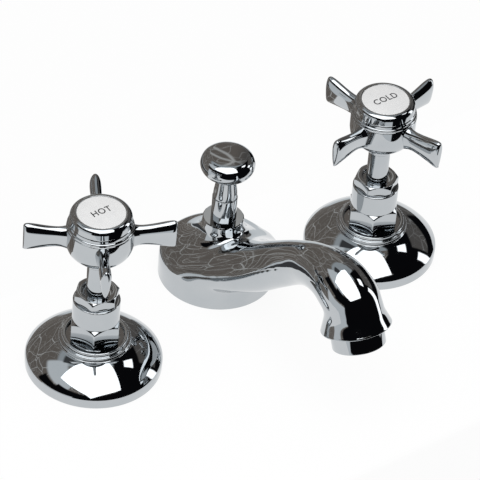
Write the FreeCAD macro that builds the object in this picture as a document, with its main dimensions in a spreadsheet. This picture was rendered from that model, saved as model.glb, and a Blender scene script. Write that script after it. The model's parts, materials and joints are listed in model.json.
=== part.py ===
import FreeCAD
import Part
import Sketcher
import math
import os

# A three-hole deck mixer: two cross-head valves, a low spout with a lift rod and a tilting nozzle,
# and the plumbing that joins them under the deck. Millimetres, +Z up, the deck at height 0, the
# spout's axis at the origin and the spout pointing along -Y.

SIZES = (
    # Shared fits
    ("fit_gap", 0.05),
    ("seat_gap", 0.2),
    ("swing_gap", 0.3),
    ("overrun", 1.0),
    # Where the valves stand, and how their handles are turned when shut
    ("hot_spread", 78.0),
    ("cold_spread", 66.0),
    ("valve_setback", 20.0),
    ("hot_handle_angle", 61.0),
    ("cold_handle_angle", 13.0),
    ("deck_thickness", 18.0),
    # Flange over the valve's deck hole
    ("flange_radius", 29.0),
    ("flange_edge_height", 3.6),
    ("flange_bevel", 1.1),
    ("flange_dome_rise", 8.6),
    ("flange_dome_curve", 26.0),
    ("flange_ring_radius", 15.2),
    ("flange_ring_height", 1.7),
    ("flange_bead_width", 1.2),
    ("flange_bead_height", 1.5),
    ("flange_wall", 2.6),
    ("flange_web", 3.2),
    ("flange_boss_depth", 7.0),
    ("flange_seal_width", 5.0),
    ("flange_seal_height", 2.0),
    # Valve body under the deck
    ("barrel_radius", 13.2),
    ("barrel_bore", 10.5),
    ("chamber_radius", 15.2),
    ("chamber_height", 24.0),
    ("chamber_floor", 5.0),
    ("port_depth", 50.0),
    ("port_radius", 9.0),
    ("valve_port_reach", 22.0),
    ("riser_radius", 6.5),
    ("riser_bore", 4.5),
    ("inlet_radius", 10.48),
    ("inlet_bore", 7.5),
    ("inlet_length", 18.0),
    ("inlet_spigot_radius", 9.2),
    ("inlet_spigot_length", 2.6),
    ("deck_washer_radius", 19.0),
    ("deck_washer_height", 2.0),
    ("backnut_flats", 36.0),
    ("backnut_height", 7.0),
    # Bonnet and gland
    ("hex_seat_rise", 1.9),
    ("hex_flats", 20.0),
    ("hex_height", 10.6),
    ("hex_gap", 0.65),
    ("collar_radius", 9.95),
    ("collar_height", 9.8),
    ("collar_bevel", 0.5),
    ("bonnet_tail_length", 14.2),
    ("bonnet_mouth_radius", 8.2),
    ("bonnet_mouth_depth", 9.4),
    ("gland_bore", 7.0),
    ("gland_depth", 5.6),
    ("gland_floor", 2.0),
    ("packing_height", 2.4),
    ("gland_flats", 17.0),
    ("gland_height", 4.6),
    ("gland_mouth_radius", 6.2),
    ("gland_mouth_depth", 1.2),
    # Spindle, jumper and tap washer
    ("spindle_radius", 4.65),
    ("spindle_thread_radius", 6.2),
    ("spindle_thread_length", 17.2),
    ("spindle_standout", 15.3),
    ("square_flats", 6.4),
    ("square_length", 12.0),
    ("jumper_depth", 1.0),
    ("jumper_plate_radius", 7.6),
    ("jumper_plate_height", 2.5),
    ("jumper_stem_radius", 2.5),
    ("jumper_stem_length", 15.0),
    ("jumper_stem_spare", 1.0),
    ("jumper_stud_radius", 1.5),
    ("tap_washer_radius", 7.2),
    ("tap_washer_height", 3.0),
    ("washer_nut_flats", 6.0),
    ("washer_nut_height", 2.0),
    # Cross handle, its screw and its index cap
    ("hub_neck_radius", 5.2),
    ("hub_neck_height", 2.0),
    ("hub_bowl_rise", 7.0),
    ("hub_bowl_curve", 11.0),
    ("hub_radius", 14.45),
    ("hub_height", 10.8),
    ("hub_recess_radius", 9.5),
    ("hub_recess_depth", 3.8),
    ("hub_web", 1.5),
    ("arm_span_radius", 31.5),
    ("arm_rise", 5.8),
    ("arm_root_radius", 9.0),
    ("arm_root_height", 7.2),
    ("arm_root_thickness", 5.2),
    ("arm_tip_height", 14.0),
    ("arm_tip_thickness", 4.4),
    ("arm_edge_round", 1.7),
    ("screw_radius", 2.4),
    ("screw_length", 12.0),
    ("screw_head_radius", 4.4),
    ("screw_head_height", 2.8),
    ("screw_slot_width", 1.2),
    ("screw_slot_depth", 1.2),
    ("cap_skirt_length", 3.2),
    ("cap_skirt_wall", 1.2),
    ("cap_foot_radius", 13.85),
    ("cap_foot_height", 1.3),
    ("cap_step_radius", 13.2),
    ("cap_step_height", 1.7),
    ("cap_radius", 12.9),
    ("cap_height", 7.3),
    ("cap_bevel", 0.7),
    ("cap_roof", 2.0),
    ("index_radius", 10.9),
    ("index_thickness", 1.1),
    ("index_crown", 0.35),
    # Spout base, its seal and its tail
    ("base_radius", 25.2),
    ("base_side_height", 7.5),
    ("base_shoulder_radius", 21.0),
    ("base_shoulder_height", 14.0),
    ("base_shoulder_curve", 9.0),
    ("base_saddle_radius", 8.6),
    ("base_saddle_height", 26.5),
    ("base_saddle_curve", 24.0),
    ("base_neck_radius", 7.4),
    ("base_neck_height", 31.5),
    ("base_seal_radius", 23.5),
    ("base_seal_width", 5.5),
    ("base_seal_height", 2.0),
    ("cavity_radius", 9.0),
    ("tail_radius", 10.45),
    ("tail_bore", 8.3),
    ("tail_engagement", 12.0),
    ("spout_washer_radius", 17.0),
    ("spout_backnut_flats", 30.0),
    ("spout_backnut_height", 6.0),
    # Spout arm and bell
    ("lip_reach", 95.0),
    ("lip_height", 42.2),
    ("arm_apex_height", 57.6),
    ("arm_bore", 5.0),
    ("arm_radius", 8.9),
    ("outlet_tilt", 22.0),
    ("bell_radius", 15.0),
    # Tilting nozzle in the bell
    ("ball_rise", 6.0),
    ("mouth_radius", 12.6),
    ("mouth_depth", 2.6),
    ("ball_radius", 8.0),
    ("ball_trim", 5.0),
    ("nozzle_neck_radius", 5.6),
    ("nozzle_bore", 4.0),
    ("nozzle_radius", 11.3),
    ("nozzle_skirt_height", 8.0),
    ("nozzle_roof", 2.0),
    ("nozzle_cup_radius", 9.6),
    ("retainer_radius", 9.8),
    ("retainer_height", 5.0),
    ("nozzle_seal_height", 1.6),
    ("straightener_height", 2.5),
    ("straightener_hole_radius", 1.5),
    ("straightener_hole_circle", 5.6),
    # Lift rod, its bush and its knob
    ("bush_radius", 5.4),
    ("bush_height", 11.5),
    ("bush_spigot_radius", 4.5),
    ("bush_spigot_length", 10.5),
    ("rod_seal_radius", 3.6),
    ("rod_seal_height", 2.5),
    ("rod_radius", 2.5),
    ("rod_engagement", 9.0),
    ("rod_drop", 98.0),
    ("rod_end_radius", 2.0),
    ("rod_end_length", 25.0),
    ("guide_bore", 3.2),
    ("guide_spare", 1.0),
    ("guide_grip", 2.0),
    ("guide_standout", 4.0),
    ("knob_neck_foot_radius", 5.2),
    ("knob_neck_top_radius", 4.2),
    ("knob_neck_height", 10.0),
    ("knob_bead_radius", 5.0),
    ("knob_bead_height", 1.3),
    ("knob_radius", 11.6),
    ("knob_underside_height", 5.9),
    ("knob_underside_curve", 9.0),
    ("knob_crown_height", 6.6),
    # Tee under the spout, mixing tubes and their unions
    ("tee_radius", 13.0),
    ("tee_height", 28.0),
    ("tee_socket_depth", 8.0),
    ("tee_floor", 4.0),
    ("tee_port_reach", 20.5),
    ("tube_radius", 6.0),
    ("tube_bore", 5.2),
    ("tube_engagement", 6.0),
    ("olive_length", 5.0),
    ("olive_radius", 7.6),
    ("union_flats", 22.0),
    ("union_grip", 6.0),
    ("union_wall", 2.0),
)

HEX_SIDES = 6
HANDLE_ARMS = 4
STRAIGHTENER_HOLES = 6
HEX_CORNER_SHARE = 1 / math.sqrt(3)
HEX_CHAMFER_SHARE = math.tan(math.radians(30))
HALF_SHARE = 0.5

# The arm's rings from the base to the top of the bell: share of the reach, share of the apex height,
# half width and half height as shares of the arm's radius, and the climb of the axis in degrees.
ARM_RING_SHARES = (
    (0.042, 0.19, 2.50, 1.00, 8),
    (0.168, 0.29, 2.00, 1.14, 24),
    (0.305, 0.44, 1.46, 1.12, 35),
    (0.432, 0.63, 1.11, 1.05, 38),
    (0.568, 0.81, 1.00, 1.00, 34),
    (0.705, 0.945, 1.03, 1.03, 22),
    (0.832, 1.00, 1.16, 1.16, -8),
    (0.921, 0.941, 1.24, 1.24, -42),
)
# The bell's rings: distance above the lip as a share of the bell's radius, and radius as such a share.
BELL_RING_SHARES = (
    (0.567, 0.783),
    (0.267, 0.887),
    (0.107, 1.00),
    (0.0, 0.967),
)

document = FreeCAD.newDocument("deck_mixer")
sheet = document.addObject("Spreadsheet::Sheet", "Sizes")


class Length:
    """A size with its value now and the sheet expression that gives it."""

    def __init__(self, value, text):
        self.value = value
        self.text = text

    def __add__(self, other):
        return Length(self.value + other.value, f"({self.text} + {other.text})")

    def __sub__(self, other):
        return Length(self.value - other.value, f"({self.text} - {other.text})")

    def __neg__(self):
        return Length(-self.value, f"(0 - {self.text})")

    def __mul__(self, share):
        if isinstance(share, Length):
            return Length(self.value * share.value, f"({self.text} * {share.text})")
        return Length(self.value * share, f"({self.text} * {share!r})")

    def __truediv__(self, other):
        return Length(self.value / other.value, f"({self.text} / {other.text})")


class Sheet:
    """The sheet's sizes by name."""


size = Sheet()
for row, (alias, value) in enumerate(SIZES, start=1):
    sheet.set(f"A{row}", alias)
    sheet.set(f"B{row}", str(value))
    sheet.setAlias(f"B{row}", alias)
    setattr(size, alias, Length(value, f"Sizes.{alias}"))
document.recompute()

ZERO = Length(0, "0")
pieces = []


def origin_feature(body, role):
    """One of the body's own origin planes or axes."""
    return next(item for item in body.Origin.OriginFeatures if item.Role == role)


def bind(item, path, length):
    """Ties one property to the sheet."""
    item.setExpression(path, length.text)


def new_body(label, x=ZERO, y=ZERO, z=ZERO, turn=None):
    """A body named as a finished piece, with its place tied to the sheet."""
    body = document.addObject("PartDesign::Body", label)
    body.Label = label
    base = FreeCAD.Vector(x.value, y.value, z.value)
    body.Placement = FreeCAD.Placement(base, turn or FreeCAD.Rotation())
    bind(body, "Placement.Base.x", x)
    bind(body, "Placement.Base.y", y)
    bind(body, "Placement.Base.z", z)
    return body


def corner(across, up, curve=None):
    """One corner of an outline; a curve makes the edge after it an arc, hollow where it is negative."""
    return across, up, curve


def arc_edge(start, end, radius, hollow):
    """Arc of the given radius between two points, bulging to the right of the way unless hollow."""
    chord = end - start
    across = FreeCAD.Vector(chord.y, -chord.x, 0).normalize()
    depth = math.sqrt(radius ** 2 - (chord.Length * HALF_SHARE) ** 2)
    centre = (start + end) * HALF_SHARE + across * (depth if hollow else -depth)
    angles = [math.atan2(point.y - centre.y, point.x - centre.x) for point in (start, end)]
    if hollow:
        angles.reverse()
    if angles[1] < angles[0]:
        angles[1] += math.tau
    circle = Part.Circle(centre, FreeCAD.Vector(0, 0, 1), radius)
    return Part.ArcOfCircle(circle, *angles)


def outline(body, name, role, corners, offset=None):
    """Closed sketch on one of the body's origin planes, each corner tied to the sheet.

    The corners run anticlockwise in the sketch.
    """
    sketch = body.newObject("Sketcher::SketchObject", name)
    sketch.AttachmentSupport = [(origin_feature(body, role), "")]
    sketch.MapMode = "FlatFace"
    if offset:
        bind(sketch, "AttachmentOffset.Base.z", offset)
    points = [FreeCAD.Vector(across.value, up.value, 0) for across, up, curve in corners]
    ends = []
    for index, (across, up, curve) in enumerate(corners):
        start = points[index]
        end = points[(index + 1) % len(points)]
        if curve is None:
            geometry = sketch.addGeometry(Part.LineSegment(start, end))
            ends.append((geometry, 1, 2))
            continue
        hollow = curve.value < 0
        geometry = sketch.addGeometry(arc_edge(start, end, abs(curve.value), hollow))
        ends.append((geometry, 2, 1) if hollow else (geometry, 1, 2))
    for index, (across, up, curve) in enumerate(corners):
        geometry, start_point, end_point = ends[index]
        following, following_start, _ = ends[(index + 1) % len(ends)]
        sketch.addConstraint(
            Sketcher.Constraint("Coincident", geometry, end_point, following, following_start)
        )
        for kind, length in (("DistanceX", across), ("DistanceY", up)):
            number = sketch.addConstraint(
                Sketcher.Constraint(kind, -1, 1, geometry, start_point, length.value)
            )
            bind(sketch, f"Constraints[{number}]", length)
        if curve is not None:
            radius = -curve if curve.value < 0 else curve
            number = sketch.addConstraint(Sketcher.Constraint("Radius", geometry, radius.value))
            bind(sketch, f"Constraints[{number}]", radius)
    return sketch


def revolve(body, name, corners, cut=False):
    """Spins an outline of (radius, height) corners about the body's own Z axis."""
    sketch = outline(body, f"{name}_outline", "XZ_Plane", corners)
    feature = body.newObject("PartDesign::Groove" if cut else "PartDesign::Revolution", name)
    feature.Profile = sketch
    feature.ReferenceAxis = (sketch, ["V_Axis"])
    feature.Angle = 360
    sketch.Visibility = False
    return feature


def turned(label, corners, **place):
    """A finished piece made by one turn of an outline."""
    body = new_body(label, **place)
    revolve(body, f"{label}_turn", corners)
    pieces.append(body)
    return body


def ring(label, bore, radius, bottom, top, **place):
    """A plain ring."""
    corners = (corner(bore, bottom), corner(radius, bottom), corner(radius, top), corner(bore, top))
    return turned(label, corners, **place)


def primitive(body, kind, name, role, shift, sizes, turn=None):
    """A primitive of the body on one of its origin planes, moved in that plane's own axes."""
    item = body.newObject(f"PartDesign::{kind}", name)
    item.AttachmentSupport = [(origin_feature(body, role), "")]
    item.MapMode = "FlatFace"
    if turn:
        axis, angle = turn
        item.AttachmentOffset = FreeCAD.Placement(FreeCAD.Vector(), FreeCAD.Rotation(axis, angle.value))
    for axis_name, length in zip("xyz", shift):
        bind(item, f"AttachmentOffset.Base.{axis_name}", length)
    for property_name, length in sizes.items():
        bind(item, property_name, length)
    return item


def hexagon(body, name, flats, bottom, height):
    """Adds a hexagon with both ends chamfered at the corners, as on a turned nut."""
    prism = primitive(
        body,
        "AdditivePrism",
        name,
        "XY_Plane",
        (ZERO, ZERO, bottom),
        {"Circumradius": flats * HEX_CORNER_SHARE, "Height": height},
    )
    prism.Polygon = HEX_SIDES
    flat_radius = flats * HALF_SHARE
    outside = flats * HEX_CORNER_SHARE + size.overrun
    drop = (outside - flat_radius) * HEX_CHAMFER_SHARE
    top = bottom + height
    chamfers = {
        "top": (
            corner(flat_radius, top),
            corner(outside, top - drop),
            corner(outside, top + size.overrun),
            corner(flat_radius, top + size.overrun),
        ),
        "bottom": (
            corner(flat_radius, bottom - size.overrun),
            corner(outside, bottom - size.overrun),
            corner(outside, bottom + drop),
            corner(flat_radius, bottom),
        ),
    }
    for end, corners in chamfers.items():
        revolve(body, f"{name}_{end}_chamfer", corners, cut=True)


def bored_nut(label, flats, bore, bottom, height, **place):
    """A hexagon nut with a plain bore standing for its thread."""
    body = new_body(label, **place)
    hexagon(body, f"{label}_hexagon", flats, bottom, height)
    bore_through(body, f"{label}_bore", bore, bottom, bottom + height)
    pieces.append(body)
    return body


def bore_through(body, name, bore, bottom, top):
    """Cuts a round hole on the body's own axis, past both faces."""
    corners = (
        corner(ZERO, bottom - size.overrun),
        corner(bore, bottom - size.overrun),
        corner(bore, top + size.overrun),
        corner(ZERO, top + size.overrun),
    )
    return revolve(body, name, corners, cut=True)


def plan_angle(x, y):
    """Direction of (x, y) seen from above, in degrees from +X."""
    return Length(math.degrees(math.atan2(y.value, x.value)), f"atan2({y.text}; {x.text})")


# Heights up the valve, from the deck
dome_foot = size.flange_edge_height + size.flange_bevel
dome_top = dome_foot + size.flange_dome_rise
ring_top = dome_top + size.flange_ring_height
bead_top = ring_top + size.flange_bead_height
hex_seat = dome_top + size.hex_seat_rise
hex_top = hex_seat + size.hex_height
collar_top = hex_top + size.collar_height
gland_top = collar_top + size.gland_height
hub_foot = gland_top + size.spindle_standout
square_foot = hub_foot + size.hub_neck_height
bowl_top = square_foot + size.hub_bowl_rise
hub_top = bowl_top + size.hub_height
recess_floor = hub_top - size.hub_recess_depth
barrel_top = hex_seat - size.flange_web
bonnet_foot = hex_seat - size.bonnet_tail_length
thread_start = bonnet_foot + size.bonnet_mouth_depth
packing_floor = collar_top - size.gland_depth
packing_top = packing_floor + size.packing_height
thread_end = packing_floor - size.gland_floor
# Heights of the shut valve's inside, and below the deck
plate_foot = -size.jumper_depth
plate_top = plate_foot + size.jumper_plate_height
washer_foot = plate_foot - size.tap_washer_height
seat_level = washer_foot - size.seat_gap
spindle_foot = plate_top + size.seat_gap
stem_top = plate_top + size.jumper_stem_length
chamber_top = size.chamber_height * HALF_SHARE - size.port_depth
chamber_foot = chamber_top - size.chamber_height
annulus_floor = chamber_foot + size.chamber_floor
inlet_foot = chamber_foot - size.inlet_length
spigot_top = chamber_foot + size.inlet_spigot_length
washer_top = -size.deck_thickness
backnut_top = washer_top - size.deck_washer_height
# Radii that fit each other
thread_bore = size.spindle_thread_radius + size.fit_gap
spindle_bore = size.spindle_radius + size.fit_gap
barrel_hole = size.barrel_radius + size.fit_gap
bonnet_tail_radius = size.barrel_bore - size.fit_gap
packing_radius = size.gland_bore - size.fit_gap
tube_socket = size.tube_radius + size.fit_gap
spigot_hole = size.inlet_spigot_radius + size.fit_gap


def make_flange(side, **place):
    """Domed rose with a stepped ring round the bonnet, screwed down on the barrel."""
    bead_radius = size.flange_ring_radius - size.flange_bead_width
    bead_bore = size.hex_flats * HEX_CORNER_SHARE + size.hex_gap
    boss_radius = barrel_hole + size.flange_wall
    cavity_radius = size.flange_radius - size.flange_wall
    hollow = size.flange_dome_curve - size.flange_wall
    turned(
        f"{side}_flange",
        (
            corner(cavity_radius, ZERO),
            corner(size.flange_radius, ZERO),
            corner(size.flange_radius, size.flange_edge_height),
            corner(size.flange_radius - size.flange_bevel, dome_foot, size.flange_dome_curve),
            corner(size.flange_ring_radius, dome_top),
            corner(size.flange_ring_radius, ring_top),
            corner(bead_radius, ring_top),
            corner(bead_radius, bead_top),
            corner(bead_bore, bead_top),
            corner(bead_bore, hex_seat),
            corner(size.barrel_bore, hex_seat),
            corner(size.barrel_bore, barrel_top),
            corner(barrel_hole, barrel_top),
            corner(barrel_hole, barrel_top - size.flange_boss_depth),
            corner(boss_radius, barrel_top - size.flange_boss_depth),
            corner(boss_radius, dome_top - size.flange_wall, -hollow),
            corner(cavity_radius, dome_foot - size.flange_wall),
        ),
        **place,
    )
    seal_radius = cavity_radius - size.fit_gap
    seal_bore = seal_radius - size.flange_seal_width
    ring(f"{side}_flange_seal", seal_bore, seal_radius, ZERO, size.flange_seal_height, **place)


def make_valve_body(side, turn, **place):
    """Barrel with a riser, a seat and a port that faces the spout, and the inlet tail screwed in below."""
    body = new_body(f"{side}_valve_body", turn=turn, **place)
    socket_floor = spigot_top + size.seat_gap
    revolve(
        body,
        f"{side}_valve_body_turn",
        (
            corner(size.riser_bore, socket_floor),
            corner(spigot_hole, socket_floor),
            corner(spigot_hole, chamber_foot),
            corner(size.chamber_radius, chamber_foot),
            corner(size.chamber_radius, chamber_top),
            corner(size.barrel_radius, chamber_top),
            corner(size.barrel_radius, barrel_top),
            corner(size.barrel_bore, barrel_top),
            corner(size.barrel_bore, annulus_floor),
            corner(size.riser_radius, annulus_floor),
            corner(size.riser_radius, seat_level),
            corner(size.riser_bore, seat_level),
        ),
    )
    boss_start = size.barrel_bore + size.overrun
    bore_start = (size.riser_radius + size.barrel_bore) * HALF_SHARE
    make_port(body, f"{side}_port", boss_start, bore_start, size.valve_port_reach)
    pieces.append(body)
    turned(
        f"{side}_inlet_tail",
        (
            corner(size.inlet_bore, inlet_foot),
            corner(size.inlet_radius, inlet_foot),
            corner(size.inlet_radius, chamber_foot),
            corner(size.inlet_spigot_radius, chamber_foot),
            corner(size.inlet_spigot_radius, spigot_top),
            corner(size.inlet_bore, spigot_top),
        ),
        **place,
    )


def make_port(body, name, boss_start, bore_start, reach, turn=ZERO):
    """Side boss with a waterway and a socket for the mixing tube, turned about the body's own axis."""
    level = -size.port_depth
    socket_start = reach - size.tube_engagement
    turned_axis = (FreeCAD.Vector(0, 1, 0), turn)
    bearing = math.radians(turn.value)
    stages = (
        ("AdditiveCylinder", "boss", boss_start, size.port_radius, reach - boss_start),
        ("SubtractiveCylinder", "waterway", bore_start, size.tube_bore, reach - bore_start + size.overrun),
        ("SubtractiveCylinder", "socket", socket_start, tube_socket, size.tube_engagement + size.overrun),
    )
    for kind, suffix, start, radius, length in stages:
        shift = (start * math.sin(bearing), level, start * math.cos(bearing))
        sizes = {"Radius": radius, "Height": length}
        primitive(body, kind, f"{name}_{suffix}", "YZ_Plane", shift, sizes, turned_axis)


def make_bonnet(side, **place):
    """Bonnet, gland nut and packing that hold and seal the spindle."""
    label = f"{side}_bonnet"
    body = new_body(label, **place)
    hexagon(body, f"{label}_hexagon", size.hex_flats, hex_seat, size.hex_height)
    revolve(
        body,
        f"{label}_tail",
        (
            corner(ZERO, bonnet_foot),
            corner(bonnet_tail_radius, bonnet_foot),
            corner(bonnet_tail_radius, hex_seat),
            corner(ZERO, hex_seat),
        ),
    )
    revolve(
        body,
        f"{label}_collar",
        (
            corner(ZERO, hex_top),
            corner(size.collar_radius, hex_top),
            corner(size.collar_radius, collar_top - size.collar_bevel),
            corner(size.collar_radius - size.collar_bevel, collar_top),
            corner(ZERO, collar_top),
        ),
    )
    revolve(
        body,
        f"{label}_bore",
        (
            corner(ZERO, bonnet_foot - size.overrun),
            corner(size.bonnet_mouth_radius, bonnet_foot - size.overrun),
            corner(size.bonnet_mouth_radius, thread_start),
            corner(thread_bore, thread_start),
            corner(thread_bore, thread_end),
            corner(spindle_bore, thread_end),
            corner(spindle_bore, packing_floor),
            corner(size.gland_bore, packing_floor),
            corner(size.gland_bore, collar_top + size.overrun),
            corner(ZERO, collar_top + size.overrun),
        ),
        cut=True,
    )
    pieces.append(body)
    ring(f"{side}_gland_packing", spindle_bore, packing_radius, packing_floor, packing_top, **place)
    label = f"{side}_gland_nut"
    body = new_body(label, **place)
    hexagon(body, f"{label}_hexagon", size.gland_flats, collar_top, size.gland_height)
    revolve(
        body,
        f"{label}_spigot",
        (
            corner(ZERO, packing_top),
            corner(packing_radius, packing_top),
            corner(packing_radius, collar_top),
            corner(ZERO, collar_top),
        ),
    )
    revolve(
        body,
        f"{label}_bore",
        (
            corner(ZERO, packing_top - size.overrun),
            corner(spindle_bore, packing_top - size.overrun),
            corner(spindle_bore, gland_top - size.gland_mouth_depth),
            corner(size.gland_mouth_radius, gland_top - size.gland_mouth_depth),
            corner(size.gland_mouth_radius, gland_top + size.overrun),
            corner(ZERO, gland_top + size.overrun),
        ),
        cut=True,
    )
    pieces.append(body)


def make_spindle(side, turn, **place):
    """Rising spindle with a squared head and a hole for the jumper's stem."""
    label = f"{side}_spindle"
    body = new_body(label, turn=turn, **place)
    stem_bore = size.jumper_stem_radius + size.fit_gap
    stem_roof = stem_top + size.jumper_stem_spare
    thread_top = spindle_foot + size.spindle_thread_length
    revolve(
        body,
        f"{label}_turn",
        (
            corner(stem_bore, spindle_foot),
            corner(size.spindle_thread_radius, spindle_foot),
            corner(size.spindle_thread_radius, thread_top),
            corner(size.spindle_radius, thread_top),
            corner(size.spindle_radius, square_foot),
            corner(ZERO, square_foot),
            corner(ZERO, stem_roof),
            corner(stem_bore, stem_roof),
        ),
    )
    half = size.square_flats * HALF_SHARE
    primitive(
        body,
        "AdditiveBox",
        f"{label}_square",
        "XY_Plane",
        (-half, -half, square_foot),
        {"Length": size.square_flats, "Width": size.square_flats, "Height": size.square_length},
    )
    hole_depth = size.screw_length + size.overrun
    primitive(
        body,
        "SubtractiveCylinder",
        f"{label}_screw_hole",
        "XY_Plane",
        (ZERO, ZERO, square_foot + size.square_length - hole_depth),
        {"Radius": size.screw_radius + size.fit_gap, "Height": hole_depth + size.overrun},
    )
    pieces.append(body)


def make_jumper(side, **place):
    """Jumper with its tap washer and the nut that holds the washer."""
    stud_bore = size.jumper_stud_radius + size.fit_gap
    nut_foot = washer_foot - size.washer_nut_height
    turned(
        f"{side}_jumper",
        (
            corner(ZERO, nut_foot),
            corner(size.jumper_stud_radius, nut_foot),
            corner(size.jumper_stud_radius, plate_foot),
            corner(size.jumper_plate_radius, plate_foot),
            corner(size.jumper_plate_radius, plate_top),
            corner(size.jumper_stem_radius, plate_top),
            corner(size.jumper_stem_radius, stem_top),
            corner(ZERO, stem_top),
        ),
        **place,
    )
    ring(f"{side}_tap_washer", stud_bore, size.tap_washer_radius, washer_foot, plate_foot, **place)
    bored_nut(
        f"{side}_washer_nut", size.washer_nut_flats, stud_bore, nut_foot, size.washer_nut_height, **place
    )


def arm_section(body, name, reach, height, thickness):
    """Section of one handle arm: a flat bar with bevelled edges, square to the arm."""
    level = bowl_top + size.arm_rise
    half_height = height * HALF_SHARE
    half_thickness = thickness * HALF_SHARE
    flat_height = half_height - size.arm_edge_round
    flat_thickness = half_thickness - size.arm_edge_round
    return outline(
        body,
        name,
        "YZ_Plane",
        (
            corner(half_thickness, level - flat_height),
            corner(half_thickness, level + flat_height),
            corner(flat_thickness, level + half_height),
            corner(-flat_thickness, level + half_height),
            corner(-half_thickness, level + flat_height),
            corner(-half_thickness, level - flat_height),
            corner(-flat_thickness, level - half_height),
            corner(flat_thickness, level - half_height),
        ),
        offset=reach,
    )


def make_handle(side, turn, **place):
    """Cross handle: a bowl-shaped hub with four arms that widen to their tips."""
    label = f"{side}_cross_handle"
    body = new_body(label, turn=turn, **place)
    revolve(
        body,
        f"{label}_hub",
        (
            corner(ZERO, hub_foot),
            corner(size.hub_neck_radius, hub_foot),
            corner(size.hub_neck_radius, square_foot, size.hub_bowl_curve),
            corner(size.hub_radius, bowl_top),
            corner(size.hub_radius, hub_top),
            corner(ZERO, hub_top),
        ),
    )
    root = arm_section(
        body, f"{label}_arm_root", size.arm_root_radius, size.arm_root_height, size.arm_root_thickness
    )
    tip = arm_section(
        body, f"{label}_arm_tip", size.arm_span_radius, size.arm_tip_height, size.arm_tip_thickness
    )
    arm = body.newObject("PartDesign::AdditiveLoft", f"{label}_arm")
    arm.Profile = root
    arm.Sections = [tip]
    arm.Ruled = True
    cross = body.newObject("PartDesign::PolarPattern", f"{label}_cross")
    cross.Originals = [arm]
    cross.Axis = (origin_feature(body, "Z_Axis"), [""])
    cross.Angle = 360
    cross.Occurrences = HANDLE_ARMS
    body.Tip = cross
    revolve(
        body,
        f"{label}_recess",
        (
            corner(ZERO, recess_floor),
            corner(size.hub_recess_radius, recess_floor),
            corner(size.hub_recess_radius, hub_top + size.overrun),
            corner(ZERO, hub_top + size.overrun),
        ),
        cut=True,
    )
    screw_hole = size.screw_radius + size.fit_gap
    bore_through(body, f"{label}_screw_hole", screw_hole, recess_floor - size.hub_web, recess_floor)
    bore_through(body, f"{label}_neck_bore", spindle_bore, hub_foot, square_foot - size.overrun)
    socket = size.square_flats + size.fit_gap + size.fit_gap
    half = socket * HALF_SHARE
    primitive(
        body,
        "SubtractiveBox",
        f"{label}_socket",
        "XY_Plane",
        (-half, -half, square_foot),
        {"Length": socket, "Width": socket, "Height": recess_floor - size.hub_web - square_foot},
    )
    pieces.append(body)


def make_handle_screw(side, turn, **place):
    """Slotted screw that holds the handle on the spindle."""
    label = f"{side}_handle_screw"
    body = new_body(label, turn=turn, **place)
    head_top = recess_floor + size.screw_head_height
    revolve(
        body,
        f"{label}_turn",
        (
            corner(ZERO, recess_floor - size.screw_length),
            corner(size.screw_radius, recess_floor - size.screw_length),
            corner(size.screw_radius, recess_floor),
            corner(size.screw_head_radius, recess_floor),
            corner(size.screw_head_radius, head_top),
            corner(ZERO, head_top),
        ),
    )
    slot_length = size.screw_head_radius + size.screw_head_radius + size.overrun + size.overrun
    primitive(
        body,
        "SubtractiveBox",
        f"{label}_slot",
        "XY_Plane",
        (-slot_length * HALF_SHARE, -size.screw_slot_width * HALF_SHARE, head_top - size.screw_slot_depth),
        {
            "Length": slot_length,
            "Width": size.screw_slot_width,
            "Height": size.screw_slot_depth + size.overrun,
        },
    )
    pieces.append(body)


def make_index_cap(side, turn, **place):
    """Stepped cap pushed into the hub, with a white index disc let into its top."""
    skirt_radius = size.hub_recess_radius - size.fit_gap
    skirt_bore = skirt_radius - size.cap_skirt_wall
    skirt_foot = hub_top - size.cap_skirt_length
    foot_top = hub_top + size.cap_foot_height
    step_top = foot_top + size.cap_step_height
    cap_top = hub_top + size.cap_height
    disc_floor = cap_top - size.index_thickness
    disc_hole = size.index_radius + size.fit_gap
    turned(
        f"{side}_index_cap",
        (
            corner(skirt_bore, skirt_foot),
            corner(skirt_radius, skirt_foot),
            corner(skirt_radius, hub_top),
            corner(size.cap_foot_radius, hub_top),
            corner(size.cap_foot_radius, foot_top),
            corner(size.cap_step_radius, foot_top),
            corner(size.cap_step_radius, step_top),
            corner(size.cap_radius, step_top),
            corner(size.cap_radius, cap_top - size.cap_bevel),
            corner(size.cap_radius - size.cap_bevel, cap_top),
            corner(disc_hole, cap_top),
            corner(disc_hole, disc_floor),
            corner(ZERO, disc_floor),
            corner(ZERO, disc_floor - size.cap_roof),
            corner(skirt_bore, disc_floor - size.cap_roof),
        ),
        turn=turn,
        **place,
    )
    turned(
        f"{side}_index_disc",
        (
            corner(ZERO, disc_floor),
            corner(size.index_radius, disc_floor),
            corner(size.index_radius, cap_top, crown_curve(size.index_radius, size.index_crown)),
            corner(ZERO, cap_top + size.index_crown),
        ),
        turn=turn,
        **place,
    )


def crown_curve(radius, rise):
    """Radius of the arc that rises from an edge to level on the axis."""
    return (radius * radius + rise * rise) / (rise + rise)


def half_chord(radius, level):
    """Radius of a ball's round section at a level from its centre."""
    value = math.sqrt(radius.value ** 2 - level.value ** 2)
    return Length(value, f"sqrt({radius.text} ^ 2 - {level.text} ^ 2)")


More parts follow.
